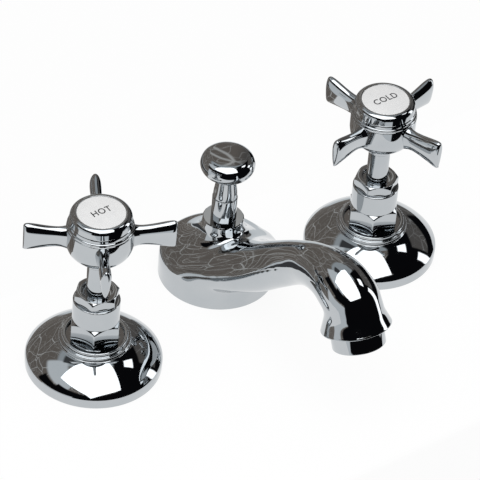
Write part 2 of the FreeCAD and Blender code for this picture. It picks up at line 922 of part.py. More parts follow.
def make_valve(side, x, handle_angle):
    """One side valve with everything on its axis."""
    place = {"x": x, "y": -size.valve_setback}
    handle_rotation = FreeCAD.Rotation(FreeCAD.Vector(0, 0, 1), handle_angle.value)
    towards_spout = plan_angle(-x, size.valve_setback)
    port_rotation = FreeCAD.Rotation(FreeCAD.Vector(0, 0, 1), towards_spout.value)
    make_flange(side, **place)
    make_valve_body(side, port_rotation, **place)
    ring(f"{side}_deck_washer", barrel_hole, size.deck_washer_radius, backnut_top, washer_top, **place)
    bored_nut(
        f"{side}_backnut",
        size.backnut_flats,
        barrel_hole,
        backnut_top - size.backnut_height,
        size.backnut_height,
        **place,
    )
    make_bonnet(side, **place)
    make_jumper(side, **place)
    make_spindle(side, handle_rotation, **place)
    make_handle(side, handle_rotation, **place)
    make_handle_screw(side, handle_rotation, **place)
    make_index_cap(side, handle_rotation, **place)


# Heights under the spout
tee_top = size.tee_height * HALF_SHARE - size.port_depth
tee_foot = tee_top - size.tee_height
tail_foot = tee_top - size.tee_socket_depth
guide_bore_radius = size.bush_spigot_radius + size.fit_gap
bush_top = size.base_neck_height + size.bush_height
spigot_foot = size.base_neck_height - size.bush_spigot_length
guide_top = spigot_foot - size.guide_spare
cavity_top = guide_top - size.guide_grip
rod_hole = size.rod_radius + size.fit_gap
# Place of the nozzle's ball, on the outlet's leaning axis
outlet_lean = math.radians(size.outlet_tilt.value)
outlet_place = {
    "y": size.ball_rise * math.sin(outlet_lean) - size.lip_reach,
    "z": size.ball_rise * math.cos(outlet_lean) + size.lip_height,
    "turn": FreeCAD.Rotation(FreeCAD.Vector(1, 0, 0), -size.outlet_tilt.value),
}
# Heights along the outlet's axis, from the ball's centre
lip_level = -size.ball_rise
retainer_foot = lip_level + size.mouth_depth
retainer_head = retainer_foot + size.retainer_height
seal_head = retainer_head + size.nozzle_seal_height
ball_socket = size.ball_radius + size.swing_gap


def helper(label, **place):
    """A body that only serves to build a larger piece."""
    return new_body(f"{label}_form", **place)


def ring_places():
    """Centres, half widths, half heights and climbs of the rings that shape the arm and the bell."""
    for reach_share, height_share, width_share, depth_share, climb in ARM_RING_SHARES:
        yield (
            size.lip_reach * reach_share,
            size.arm_apex_height * height_share,
            size.arm_radius * width_share,
            size.arm_radius * depth_share,
            Length(climb, repr(climb)),
        )
    quarter_turn = Length(90, "90")
    for rise_share, radius_share in BELL_RING_SHARES:
        rise = size.bell_radius * rise_share
        radius = size.bell_radius * radius_share
        yield (
            size.lip_reach - rise * math.sin(outlet_lean),
            size.lip_height + rise * math.cos(outlet_lean),
            radius,
            radius,
            size.outlet_tilt - quarter_turn,
        )


def ring_placement(item, reach, height, climb):
    """Stands a ring square to the arm's axis, with its own X axis across the spout."""
    lean = FreeCAD.Rotation(FreeCAD.Vector(1, 0, 0), 90 - climb.value)
    item.Placement = FreeCAD.Placement(FreeCAD.Vector(0, -reach.value, height.value), lean)
    bind(item, "Placement.Base.y", -reach)
    bind(item, "Placement.Base.z", height)
    item.Visibility = False


def loft_through(name, rings):
    """Solid loft through rings in order."""
    loft = document.addObject("Part::Loft", name)
    loft.Sections = rings
    loft.Solid = True
    return loft


def make_arm():
    """Outside of the spout's arm and bell."""
    rings = []
    for number, (reach, height, half_width, half_height, climb) in enumerate(ring_places()):
        item = document.addObject("Part::Ellipse", f"spout_arm_ring_{number}")
        ring_placement(item, reach, height, climb)
        bind(item, "MajorRadius", half_width)
        bind(item, "MinorRadius", half_height)
        rings.append(item)
    return loft_through("spout_arm_form", rings)


def make_waterway():
    """Water passage along the arm, from the base's cavity to the bell."""
    rings = []
    first_in_bell = len(ARM_RING_SHARES) + 1
    for number, (reach, height, _, _, climb) in enumerate(list(ring_places())[:first_in_bell]):
        item = document.addObject("Part::Circle", f"spout_waterway_ring_{number}")
        ring_placement(item, reach, height, climb)
        bind(item, "Radius", size.arm_bore)
        rings.append(item)
    return loft_through("spout_waterway_form", rings)


def make_spout_base():
    """Round base of the spout with a hollow-sided cone up to the lift rod's bush."""
    body = helper("spout_base")
    revolve(
        body,
        "spout_base_turn",
        (
            corner(ZERO, ZERO),
            corner(size.base_radius, ZERO),
            corner(size.base_radius, size.base_side_height, size.base_shoulder_curve),
            corner(size.base_shoulder_radius, size.base_shoulder_height, -size.base_saddle_curve),
            corner(size.base_saddle_radius, size.base_saddle_height),
            corner(size.base_neck_radius, size.base_neck_height),
            corner(ZERO, size.base_neck_height),
        ),
    )
    return body


def make_spout_cuts():
    """What is cut out of the spout: seal groove, tail thread, cavity, bush hole and the bell's inside."""
    tail_hole = size.tail_radius + size.fit_gap
    bores = helper("spout_bores")
    revolve(
        bores,
        "spout_bores_turn",
        (
            corner(ZERO, -size.overrun),
            corner(tail_hole, -size.overrun),
            corner(tail_hole, size.tail_engagement),
            corner(size.cavity_radius, size.tail_engagement),
            corner(size.cavity_radius, cavity_top),
            corner(guide_bore_radius, cavity_top),
            corner(guide_bore_radius, size.base_neck_height + size.overrun),
            corner(ZERO, size.base_neck_height + size.overrun),
        ),
    )
    groove = helper("spout_seal_groove")
    groove_radius = size.base_seal_radius + size.fit_gap
    groove_bore = size.base_seal_radius - size.base_seal_width - size.fit_gap
    revolve(
        groove,
        "spout_seal_groove_turn",
        (
            corner(groove_bore, -size.overrun),
            corner(groove_radius, -size.overrun),
            corner(groove_radius, size.base_seal_height),
            corner(groove_bore, size.base_seal_height),
        ),
    )
    mouth = helper("spout_mouth", **outlet_place)
    retainer_hole = size.retainer_radius + size.fit_gap
    ball_room = half_chord(ball_socket, seal_head)
    revolve(
        mouth,
        "spout_mouth_turn",
        (
            corner(ZERO, lip_level - size.overrun),
            corner(size.mouth_radius, lip_level - size.overrun),
            corner(size.mouth_radius, retainer_foot),
            corner(retainer_hole, retainer_foot),
            corner(retainer_hole, seal_head),
            corner(ball_room, seal_head),
            corner(ball_room, ball_socket),
            corner(ZERO, ball_socket),
        ),
    )
    return [bores, groove, mouth]


def make_spout_body():
    """The whole spout casting."""
    outside = document.addObject("Part::MultiFuse", "spout_outside_form")
    outside.Shapes = [make_spout_base(), make_arm()]
    inside = document.addObject("Part::MultiFuse", "spout_inside_form")
    inside.Shapes = [make_waterway(), *make_spout_cuts()]
    spout = document.addObject("Part::Cut", "spout_body")
    spout.Label = "spout_body"
    spout.Base = outside
    spout.Tool = inside
    pieces.append(spout)


def make_spout_fixings():
    """Seal, tail, washer and backnut that hold the spout on the deck."""
    tail_hole = size.tail_radius + size.fit_gap
    seal_bore = size.base_seal_radius - size.base_seal_width
    ring("spout_seal", seal_bore, size.base_seal_radius, ZERO, size.base_seal_height)
    ring("spout_tail", size.tail_bore, size.tail_radius, tail_foot, size.tail_engagement)
    ring("spout_washer", tail_hole, size.spout_washer_radius, backnut_top, washer_top)
    nut_foot = backnut_top - size.spout_backnut_height
    bored_nut("spout_backnut", size.spout_backnut_flats, tail_hole, nut_foot, size.spout_backnut_height)


def make_tee(directions):
    """Tee under the spout where the hot and cold water meet."""
    body = new_body("spout_tee")
    tail_hole = size.tail_radius + size.fit_gap
    floor_top = tee_foot + size.tee_floor
    revolve(
        body,
        "spout_tee_turn",
        (
            corner(guide_bore_radius, tee_foot),
            corner(size.tee_radius, tee_foot),
            corner(size.tee_radius, tee_top),
            corner(tail_hole, tee_top),
            corner(tail_hole, tail_foot),
            corner(size.tail_bore, tail_foot),
            corner(size.tail_bore, floor_top),
            corner(guide_bore_radius, floor_top),
        ),
    )
    for side, direction in directions.items():
        boss_start = size.tail_bore + size.overrun
        bore_start = size.tail_bore * HALF_SHARE
        make_port(body, f"tee_{side}_port", boss_start, bore_start, size.tee_port_reach, direction)
    # The tail's socket is cut again, because the port bosses start inside it
    bore_through(body, "spout_tee_socket", tail_hole, tail_foot + size.overrun, tee_top)
    pieces.append(body)


def make_union(label, reach, **place):
    """Union nut and olive that clamp a mixing tube in a port, along the port's own axis."""
    port_hole = size.port_radius + size.fit_gap
    olive_top = reach + size.olive_length
    nut_foot = reach - size.union_grip
    nut_top = olive_top + size.union_wall
    body = new_body(f"{label}_union_nut", **place)
    hexagon(body, f"{label}_union_hexagon", size.union_flats, nut_foot, nut_top - nut_foot)
    revolve(
        body,
        f"{label}_union_bore",
        (
            corner(ZERO, nut_foot - size.overrun),
            corner(port_hole, nut_foot - size.overrun),
            corner(port_hole, olive_top),
            corner(tube_socket, olive_top),
            corner(tube_socket, nut_top + size.overrun),
            corner(ZERO, nut_top + size.overrun),
        ),
        cut=True,
    )
    pieces.append(body)
    middle = reach + size.olive_length * HALF_SHARE
    turned(
        f"{label}_olive",
        (
            corner(tube_socket, reach),
            corner(size.olive_radius, middle),
            corner(tube_socket, olive_top),
        ),
        **place,
    )


def make_mixing_line(side, x):
    """Mixing tube between one valve and the tee, with a union at each end."""
    y = -size.valve_setback
    level = -size.port_depth
    along = plan_angle(-x, -y)
    back = plan_angle(x, y)
    facing_spout = FreeCAD.Rotation(along.value, 90, 0)
    facing_valve = FreeCAD.Rotation(back.value, 90, 0)
    distance = math.hypot(x.value, y.value)
    spread = Length(distance, f"sqrt({x.text} ^ 2 + {y.text} ^ 2)")
    tube_start = size.valve_port_reach - size.tube_engagement
    tube_end = spread - size.tee_port_reach + size.tube_engagement
    ring(
        f"{side}_mixing_tube",
        size.tube_bore,
        size.tube_radius,
        tube_start,
        tube_end,
        x=x,
        y=y,
        z=level,
        turn=facing_spout,
    )
    make_union(f"{side}_valve", size.valve_port_reach, x=x, y=y, z=level, turn=facing_spout)
    make_union(f"{side}_tee", size.tee_port_reach, z=level, turn=facing_valve)
    return back


def make_lift_rod():
    """Lift rod for the pop-up waste, with its bush, seal, guide tube and knob."""
    guide_foot = tee_foot - size.guide_standout
    ring("rod_guide_tube", size.guide_bore, size.bush_spigot_radius, guide_foot, guide_top)
    seal_hole = size.rod_seal_radius + size.fit_gap
    seal_head = spigot_foot + size.rod_seal_height
    turned(
        "lift_rod_bush",
        (
            corner(seal_hole, spigot_foot),
            corner(size.bush_spigot_radius, spigot_foot),
            corner(size.bush_spigot_radius, size.base_neck_height),
            corner(size.bush_radius, size.base_neck_height),
            corner(size.bush_radius, bush_top),
            corner(rod_hole, bush_top),
            corner(rod_hole, seal_head),
            corner(seal_hole, seal_head),
        ),
    )
    ring("lift_rod_seal", rod_hole, size.rod_seal_radius, spigot_foot, seal_head)
    knob_foot = bush_top + size.seat_gap
    rod_top = knob_foot + size.rod_engagement
    turned(
        "lift_rod",
        (
            corner(ZERO, -size.rod_drop),
            corner(size.rod_end_radius, -size.rod_drop),
            corner(size.rod_end_radius, size.rod_end_length - size.rod_drop),
            corner(size.rod_radius, size.rod_end_length - size.rod_drop),
            corner(size.rod_radius, rod_top),
            corner(ZERO, rod_top),
        ),
    )
    neck_top = knob_foot + size.knob_neck_height
    bead_head = neck_top + size.knob_bead_height
    belly = bead_head + size.knob_underside_height
    turned(
        "lift_knob",
        (
            corner(rod_hole, knob_foot),
            corner(size.knob_neck_foot_radius, knob_foot),
            corner(size.knob_neck_top_radius, neck_top),
            corner(size.knob_bead_radius, neck_top),
            corner(size.knob_bead_radius, bead_head, size.knob_underside_curve),
            corner(size.knob_radius, belly, crown_curve(size.knob_radius, size.knob_crown_height)),
            corner(ZERO, belly + size.knob_crown_height),
            corner(ZERO, rod_top),
            corner(rod_hole, rod_top),
        ),
    )


def make_nozzle():
    """Ball-jointed nozzle with its retaining ring, seal and flow straightener, on the outlet's axis."""
    skirt_top = lip_level
    skirt_foot = skirt_top - size.nozzle_skirt_height
    roof = skirt_top - size.nozzle_roof
    neck_depth = half_chord(size.ball_radius, size.nozzle_neck_radius)
    ball_top_radius = half_chord(size.ball_radius, size.ball_trim)
    turned(
        "nozzle",
        (
            corner(size.nozzle_cup_radius, skirt_foot),
            corner(size.nozzle_radius, skirt_foot),
            corner(size.nozzle_radius, skirt_top),
            corner(size.nozzle_neck_radius, skirt_top),
            corner(size.nozzle_neck_radius, -neck_depth, size.ball_radius),
            corner(ball_top_radius, size.ball_trim),
            corner(size.nozzle_bore, size.ball_trim),
            corner(size.nozzle_bore, roof),
            corner(size.nozzle_cup_radius, roof),
        ),
        **outlet_place,
    )
    turned(
        "nozzle_retainer",
        (
            corner(half_chord(ball_socket, retainer_foot), retainer_foot),
            corner(size.retainer_radius, retainer_foot),
            corner(size.retainer_radius, retainer_head),
            corner(half_chord(ball_socket, retainer_head), retainer_head, -ball_socket),
        ),
        **outlet_place,
    )
    seal_hole = half_chord(ball_socket, retainer_head)
    ring("nozzle_seal", seal_hole, size.retainer_radius, retainer_head, seal_head, **outlet_place)
    body = new_body("flow_straightener", **outlet_place)
    disc_radius = size.nozzle_cup_radius - size.fit_gap
    revolve(
        body,
        "flow_straightener_disc",
        (
            corner(ZERO, roof - size.straightener_height),
            corner(disc_radius, roof - size.straightener_height),
            corner(disc_radius, roof),
            corner(ZERO, roof),
        ),
    )
    hole = primitive(
        body,
        "SubtractiveCylinder",
        "flow_straightener_hole",
        "XY_Plane",
        (size.straightener_hole_circle, ZERO, roof - size.straightener_height - size.overrun),
        {
            "Radius": size.straightener_hole_radius,
            "Height": size.straightener_height + size.overrun + size.overrun,
        },
    )
    holes = body.newObject("PartDesign::PolarPattern", "flow_straightener_holes")
    holes.Originals = [hole]
    holes.Axis = (origin_feature(body, "Z_Axis"), [""])
    holes.Angle = 360
    holes.Occurrences = STRAIGHTENER_HOLES
    body.Tip = holes
    pieces.append(body)


def check_and_export():
    """Stops on any failed object or bad shape, then writes one file for each piece."""
    document.recompute()
    for item in document.Objects:
        if {"Invalid", "Error"} & set(item.State):
            raise RuntimeError(f"{item.Label} failed: {item.State}")
    for piece in pieces:
        shape = piece.Shape
        if shape.isNull() or not shape.isValid() or not shape.Solids:
            raise RuntimeError(f"{piece.Label} has no valid solid")
    os.makedirs("parts", exist_ok=True)
    for piece in pieces:
        piece.Shape.exportStep(f"parts/{piece.Label}.step")
        print(piece.Label, len(piece.Shape.Solids), round(piece.Shape.Volume))


hot_x = -size.hot_spread
cold_x = size.cold_spread
make_valve("hot", hot_x, size.hot_handle_angle)
make_valve("cold", cold_x, size.cold_handle_angle)
make_spout_body()
make_spout_fixings()
make_tee({"hot": make_mixing_line("hot", hot_x), "cold": make_mixing_line("cold", cold_x)})
make_lift_rod()
make_nozzle()
check_and_export()
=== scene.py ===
import json
import math

import bmesh
import bpy
from bmesh.types import BMEdge, BMVert
from mathutils import Matrix, Vector
from mathutils.bvhtree import BVHTree


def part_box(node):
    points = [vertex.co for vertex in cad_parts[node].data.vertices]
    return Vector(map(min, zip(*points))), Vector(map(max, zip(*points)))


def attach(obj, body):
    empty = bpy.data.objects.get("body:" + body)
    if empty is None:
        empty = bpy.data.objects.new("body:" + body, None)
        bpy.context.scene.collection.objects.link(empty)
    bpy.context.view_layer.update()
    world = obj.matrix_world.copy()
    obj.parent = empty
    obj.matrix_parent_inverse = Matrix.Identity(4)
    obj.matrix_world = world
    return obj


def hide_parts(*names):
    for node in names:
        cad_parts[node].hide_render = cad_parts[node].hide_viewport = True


# A chromed three-hole deck mixer: two cross-head valves and a low spout with a lift knob.
# The pieces' sizes are in millimetres from the deck up, and a piece is brought to metres when it is placed.
# The studio's sizes are in metres, and the camera's lens and sensor in millimetres.

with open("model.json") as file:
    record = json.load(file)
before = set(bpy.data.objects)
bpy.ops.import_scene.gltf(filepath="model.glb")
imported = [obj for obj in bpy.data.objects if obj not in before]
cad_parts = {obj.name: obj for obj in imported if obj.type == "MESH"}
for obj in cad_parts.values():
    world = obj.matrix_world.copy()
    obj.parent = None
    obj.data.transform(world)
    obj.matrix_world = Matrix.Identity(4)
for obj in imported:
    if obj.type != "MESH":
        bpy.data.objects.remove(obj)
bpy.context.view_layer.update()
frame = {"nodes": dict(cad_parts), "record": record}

MM = 0.001
UP = Vector((0, 0, 1))
RIGHT_ANGLE = 90
SHARP_ANGLE = math.radians(38)
MEETING_GAP = 1e-4
CUT_GAP = 1e-5
ROUND_PROFILE = 0.5

# Steps round a rounded corner
LEAST_CORNER_STEPS = 4
MOST_CORNER_STEPS = 24
CORNER_STEPS_PER_MM = 3

# Steps round a turned piece
FINE_STEPS = 192
CLOSE_STEPS = 160
PLAIN_STEPS = 128
COARSE_STEPS = 96


# Ways of working

def rounding_segments(rounding):
    """How many steps a rounded corner needs."""
    return min(MOST_CORNER_STEPS, LEAST_CORNER_STEPS + round(rounding * CORNER_STEPS_PER_MM))


def draw_outline(bm, corners):
    """Closed wire through (radius, height) corners, and (radius, height, rounding) ones that are rounded."""
    points = [bm.verts.new((radius, 0, height)) for radius, height, *_ in corners]
    for start, end in zip(points, points[1:] + points[:1]):
        bm.edges.new((start, end))
    by_rounding = {}
    for point, (_, _, *rounding) in zip(points, corners):
        if rounding:
            by_rounding.setdefault(rounding[0], []).append(point)
    for rounding, group in by_rounding.items():
        bmesh.ops.bevel(
            bm,
            geom=group,
            offset=rounding,
            offset_type="OFFSET",
            segments=rounding_segments(rounding),
            profile=ROUND_PROFILE,
            affect="VERTICES",
            material=-1,
            clamp_overlap=True,
        )


def turn_on_lathe(corners, steps=PLAIN_STEPS):
    """A turned shape about the Z axis."""
    bm = bmesh.new()
    draw_outline(bm, corners)
    bmesh.ops.spin(
        bm,
        geom=bm.verts[:] + bm.edges[:],
        cent=(0, 0, 0),
        axis=UP,
        angle=math.tau,
        steps=steps,
        use_merge=True,
    )
    close_up(bm)
    return bm


def close_up(bm):
    """Joins what meets and points every face outwards."""
    bmesh.ops.remove_doubles(bm, verts=bm.verts, dist=MEETING_GAP)
    bmesh.ops.dissolve_degenerate(bm, edges=bm.edges, dist=CUT_GAP)
    bmesh.ops.recalc_face_normals(bm, faces=bm.faces)


def from_axis(point):
    """How far a point is from the Z axis."""
    return math.hypot(point.x, point.y)


# Flats: a point nearer the axis than this share of the flat belongs to the bore and stays as it is
BORE_SHARE = 0.8
HEX_SIDES = 6
SQUARE_SIDES = 4


def slice_levels(bm, bottom, top, spacing):
    """Cuts a turned shape into thin slices between two levels, so that flats can be pressed on it."""
    count = max(1, round((top - bottom) / spacing))
    for number in range(count + 1):
        level = bottom + (top - bottom) * number / count
        bmesh.ops.bisect_plane(
            bm,
            geom=bm.verts[:] + bm.edges[:] + bm.faces[:],
            dist=CUT_GAP,
            plane_co=(0, 0, level),
            plane_no=UP,
        )


def press_flats(bm, across, bottom, top, turn, softness, sides=HEX_SIDES):
    """Presses flats on a turned shape between two levels, with softly rounded edges."""
    flat = across / 2
    wedge = math.tau / sides
    for vert in bm.verts:
        radius = from_axis(vert.co)
        if not bottom <= vert.co.z <= top or radius < flat * BORE_SHARE:
            continue
        angle = math.atan2(vert.co.y, vert.co.x) - turn
        off_middle = (angle + wedge / 2) % wedge - wedge / 2
        limit = flat / math.cos(off_middle)
        gap = radius - limit
        pressed = limit + (gap - math.hypot(gap, softness)) / 2
        share = pressed / radius
        vert.co.x *= share
        vert.co.y *= share


def glide(rows, steps):
    """Rows of numbers with more rows put in between, on a smooth curve through the given ones."""
    ends = [rows[0], *rows, rows[-1]]
    for before, start, end, after in zip(ends, ends[1:], ends[2:], ends[3:]):
        for step in range(steps):
            u = step / steps
            yield [
                b + u / 2 * (c - a + u * (2 * a - 5 * b + 4 * c - d + u * (3 * (b - c) + d - a)))
                for a, b, c, d in zip(before, start, end, after)
            ]
    yield list(rows[-1])


def only(kind, items):
    """The points or the edges among what a bmesh operator gives."""
    return [item for item in items if isinstance(item, kind)]


def draw_out(bm, edges):
    """Draws a skin out of an open edge, and gives the new edge's points and the new edge."""
    drawn = bmesh.ops.extrude_edge_only(bm, edges=edges)["geom"]
    return only(BMVert, drawn), only(BMEdge, drawn)


def loft(places, segments):
    """Closed skin through a unit circle set at each place in turn, and the points of its rings."""
    bm = bmesh.new()
    circle = bmesh.ops.create_circle(bm, cap_ends=True, segments=segments, radius=1, matrix=places[0])
    rings = [circle["verts"]]
    edges = bm.edges[:]
    for old, new in zip(places, places[1:]):
        points, edges = draw_out(bm, edges)
        bmesh.ops.transform(bm, matrix=new @ old.inverted(), verts=points)
        rings.append(points)
    bmesh.ops.contextual_create(bm, geom=edges)
    return bm, rings


def square_up(value, squareness):
    """Pushes a circle's coordinate out, towards a rounded bar, or in where squareness is over 1."""
    return math.copysign(abs(value) ** squareness, value)


def take_mesh(bm, name):
    """Makes a mesh of a shape that is ready."""
    mesh = bpy.data.meshes.new(name)
    bm.to_mesh(mesh)
    bm.free()
    return mesh


def add_object(name, data):
    """Puts a mesh, word, camera or lamp in the scene."""
    item = bpy.data.objects.new(name, data)
    bpy.context.collection.objects.link(item)
    return item


def finished_mesh(name, data, modifier=None, **settings):
    """The mesh that a form or a word gives, with its modifier worked in."""
    form = add_object(name, data)
    if modifier:
        skin = form.modifiers.new("skin", modifier)
        for setting, value in settings.items():
            setattr(skin, setting, value)
    depsgraph = bpy.context.evaluated_depsgraph_get()
    mesh = bpy.data.meshes.new_from_object(form.evaluated_get(depsgraph))
    bpy.data.objects.remove(form)
    return mesh


def add_piece(bm, name, body, *nodes, slot="chrome", finish=None, place=Matrix.Identity(4)):
    """Brings a shape to metres at its place and puts it on its body, in the place of the named solids."""
    bmesh.ops.transform(bm, matrix=Matrix.Scale(MM, 4) @ place, verts=bm.verts)
    mesh = take_mesh(bm, name)
    mesh.shade_smooth()
    mesh.set_sharp_from_angle(angle=SHARP_ANGLE)
    mesh.materials.append(finish or BY_SLOT[slot])
    piece = add_object(name, mesh)
    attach(piece, body)
    if nodes:
        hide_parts(*nodes)


def add_node(tree, kind, inputs=None, **settings):
    """A shader node with its settings, and with inputs that are values or other nodes' outputs."""
    node = tree.nodes.new(f"ShaderNode{kind}")
    for name, value in settings.items():
        setattr(node, name, value)
    for socket, value in (inputs or {}).items():
        if isinstance(value, bpy.types.NodeSocket):
            tree.links.new(value, node.inputs[socket])
        else:
            node.inputs[socket].default_value = value
    return node


# Finishes

# Where on a pattern the darker tone ends and the lighter one starts
TONE_SPAN = (0.3, 0.7)
# The wave pattern turns by this many radians over a metre at a scale of 1
WAVE_RATE = 20


class Finish:
    """A material whose detail comes from its nodes, on the piece's own coordinates."""

    def __init__(self, name, **constants):
        self.material = bpy.data.materials.new(name)
        self.material.use_nodes = True
        self.tree = self.material.node_tree
        self.shader = self.tree.nodes["Principled BSDF"]
        self.place = add_node(self.tree, "TexCoord").outputs["Object"]
        for socket, value in constants.items():
            self.shader.inputs[socket.replace("_", " ")].default_value = value

    def grain(self, scale, detail=3.0):
        """Noise with about `scale` grains to the metre."""
        noise = add_node(self.tree, "TexNoise", {"Vector": self.place, "Scale": scale, "Detail": detail})
        return noise.outputs["Fac"]

    def rings(self, spacing_mm, distortion=0.0):
        """Even rings up the piece, as a tool or a thread leaves them."""
        scale = math.tau / (WAVE_RATE * spacing_mm * MM)
        inputs = {"Vector": self.place, "Scale": scale, "Distortion": distortion}
        return add_node(self.tree, "TexWave", inputs, bands_direction="Z").outputs["Fac"]

    def shades(self, pattern, low, high):
        """Colours between two tones by a pattern."""
        ramp = add_node(self.tree, "ValToRGB", {"Fac": pattern})
        for end, position, tone in zip(ramp.color_ramp.elements, TONE_SPAN, (low, high)):
            end.position = position
            end.color = (*tone, 1)
        self.tree.links.new(ramp.outputs["Color"], self.shader.inputs["Base Color"])

    def roughness(self, pattern, low, high):
        """Roughness between two levels by a pattern."""
        spread = add_node(self.tree, "MapRange", {"Value": pattern, "To Min": low, "To Max": high})
        self.tree.links.new(spread.outputs["Result"], self.shader.inputs["Roughness"])

    def relief(self, pattern, strength, depth_mm):
        """Fine relief by a pattern."""
        bump = add_node(
            self.tree, "Bump", {"Height": pattern, "Strength": strength, "Distance": depth_mm * MM}
        )
        self.tree.links.new(bump.outputs["Normal"], self.shader.inputs["Normal"])


def polished_chrome():
    """Bright plate with the faint clouds and waves that polishing leaves."""
    finish = Finish("polished_chrome", Metallic=1.0)
    finish.shades(finish.grain(70), low=(0.470, 0.498, 0.520), high=(0.505, 0.528, 0.546))
    finish.roughness(finish.grain(240, detail=5), low=0.012, high=0.055)
    finish.relief(finish.grain(130, detail=1), strength=0.12, depth_mm=0.02)
    return finish.material


def turned_brass():
    """Brass with a thread's rings."""
    finish = Finish("turned_brass", Metallic=1.0)
    finish.shades(finish.grain(90, detail=6), low=(0.50, 0.33, 0.12), high=(0.72, 0.55, 0.27))
    finish.roughness(finish.grain(300, detail=6), low=0.22, high=0.48)
    finish.relief(finish.rings(1.8, distortion=0.05), strength=0.5, depth_mm=0.35)
    return finish.material


def cast_brass():
    """Brass with the fine pits of a casting."""
    finish = Finish("cast_brass", Metallic=1.0)
    finish.shades(finish.grain(120, detail=6), low=(0.46, 0.31, 0.12), high=(0.70, 0.53, 0.26))
    finish.roughness(finish.grain(260, detail=4), low=0.28, high=0.5)
    finish.relief(finish.grain(900, detail=6), strength=0.35, depth_mm=0.06)
    return finish.material


def drawn_copper():
    """Tube copper, gone darker in patches."""
    finish = Finish("drawn_copper", Metallic=1.0)
    finish.shades(finish.grain(80, detail=6), low=(0.42, 0.17, 0.09), high=(0.80, 0.44, 0.29))
    finish.roughness(finish.grain(200, detail=5), low=0.2, high=0.45)
    finish.relief(finish.grain(1500, detail=2), strength=0.2, depth_mm=0.03)
    return finish.material


def brushed_steel():
    """Steel with fine rings from the brush."""
    finish = Finish("brushed_steel", Metallic=1.0)
    finish.shades(finish.grain(60, detail=5), low=(0.47, 0.47, 0.48), high=(0.60, 0.60, 0.61))
    finish.roughness(finish.rings(0.4, distortion=1.0), low=0.22, high=0.36)
    finish.relief(finish.rings(0.3, distortion=0.6), strength=0.15, depth_mm=0.02)
    return finish.material


def black_rubber():
    """Matt rubber with a fine grain."""
    finish = Finish("black_rubber")
    finish.shades(finish.grain(150, detail=6), low=(0.018, 0.018, 0.019), high=(0.05, 0.05, 0.052))
    finish.roughness(finish.grain(400, detail=3), low=0.55, high=0.8)
    finish.relief(finish.grain(2500, detail=4), strength=0.4, depth_mm=0.05)
    return finish.material


def graphite_packing():
    """Dark cord packing, wound in rings."""
    finish = Finish("graphite_packing")
    finish.shades(finish.grain(700, detail=6), low=(0.05, 0.05, 0.055), high=(0.14, 0.14, 0.15))
    finish.roughness(finish.grain(500), low=0.45, high=0.7)
    finish.relief(finish.rings(0.8, distortion=2.0), strength=0.5, depth_mm=0.1)
    return finish.material


def white_enamel():
    """Glossy white under a clear coat."""
    finish = Finish("white_enamel", Coat_Weight=0.6, Coat_Roughness=0.04)
    finish.shades(finish.grain(180, detail=4), low=(0.78, 0.785, 0.79), high=(0.83, 0.832, 0.832))
    finish.roughness(finish.grain(300), low=0.22, high=0.34)
    finish.relief(finish.grain(600, detail=2), strength=0.05, depth_mm=0.02)
    return finish.material


def index_ink():
    """The words' near-black ink."""
    finish = Finish("index_ink")
    finish.shades(finish.grain(1500, detail=5), low=(0.025, 0.026, 0.028), high=(0.06, 0.062, 0.065))
    finish.roughness(finish.grain(900), low=0.4, high=0.6)
    return finish.material


def moulded_white_plastic():
    """Off-white plastic with a moulded grain."""
    finish = Finish("moulded_white_plastic")
    finish.shades(finish.grain(120, detail=4), low=(0.72, 0.72, 0.70), high=(0.80, 0.80, 0.78))
    finish.roughness(finish.grain(500), low=0.35, high=0.5)
    finish.relief(finish.grain(2000), strength=0.15, depth_mm=0.02)
    return finish.material


BY_SLOT = {
    "chrome": polished_chrome(),
    "brass": cast_brass(),
    "copper": drawn_copper(),
    "steel": brushed_steel(),
    "rubber": black_rubber(),
    "packing": graphite_packing(),
    "index_white": white_enamel(),
    "white_plastic": moulded_white_plastic(),
}
INK = index_ink()
THREADED_BRASS = turned_brass()
THREADED_NODES = ("hot_valve_body", "cold_valve_body", "hot_inlet_tail", "cold_inlet_tail", "spout_tail")


# Valves

SIDES = ("hot", "cold")
# Levels that two pieces share
BONNET_HEX_FOOT = 15.2
BONNET_TOP = 35.6
SQUARE_FOOT = 57.5
HUB_TOP = 75.3
DISC_SEAT = 81.5

# Outlines: radius, height and the rounding of the corner, where it is rounded
FLANGE_OUTLINE = (
    (26.4, 0.0, 0.2),
    (29.0, 0.0, 0.25),
    (29.0, 4.4, 0.9),
    (22.6, 11.2, 7.2),
    (15.2, 13.3, 0.3),
    (15.2, 15.0, 0.5),
    (14.0, 15.0, 0.25),
    (14.0, 16.5, 0.55),
    (12.2, 16.5, 0.4),
    (12.2, BONNET_HEX_FOOT),
    (10.5, BONNET_HEX_FOOT),
    (10.5, 12.0),
    (13.25, 12.0),
    (13.25, 5.0, 0.3),
    (15.85, 5.0, 0.3),
    (15.85, 10.7, 0.5),
    (21.6, 9.0, 5.0),
    (26.4, 2.6, 0.5),
)
BONNET_HEX_TOP = 25.8
BONNET_OUTLINE = (
    (8.2, 1.0, 0.3),
    (10.45, 1.0, 0.4),
    (10.45, BONNET_HEX_FOOT),
    (10.7, BONNET_HEX_FOOT),
    (11.75, 16.3),
    (11.75, 24.0, 0.25),
    (9.95, BONNET_HEX_TOP, 0.12),
    (9.95, BONNET_TOP, 0.55),
    (7.0, BONNET_TOP, 0.3),
    (7.0, 30.0),
    (4.7, 30.0),
    (4.7, 28.0),
    (6.25, 28.0),
    (6.25, 10.4),
    (8.2, 10.4),
)
GLAND_TOP = 40.2
GLAND_OUTLINE = (
    (4.7, 32.4),
    (6.95, 32.4, 0.3),
    (6.95, BONNET_TOP),
    (8.5, BONNET_TOP, 0.1),
    (10.0, 36.7, 0.2),
    (10.0, 38.7, 0.2),
    (8.5, GLAND_TOP, 0.2),
    (6.2, GLAND_TOP, 0.35),
    (6.2, 39.0, 0.2),
    (4.7, 39.0),
)
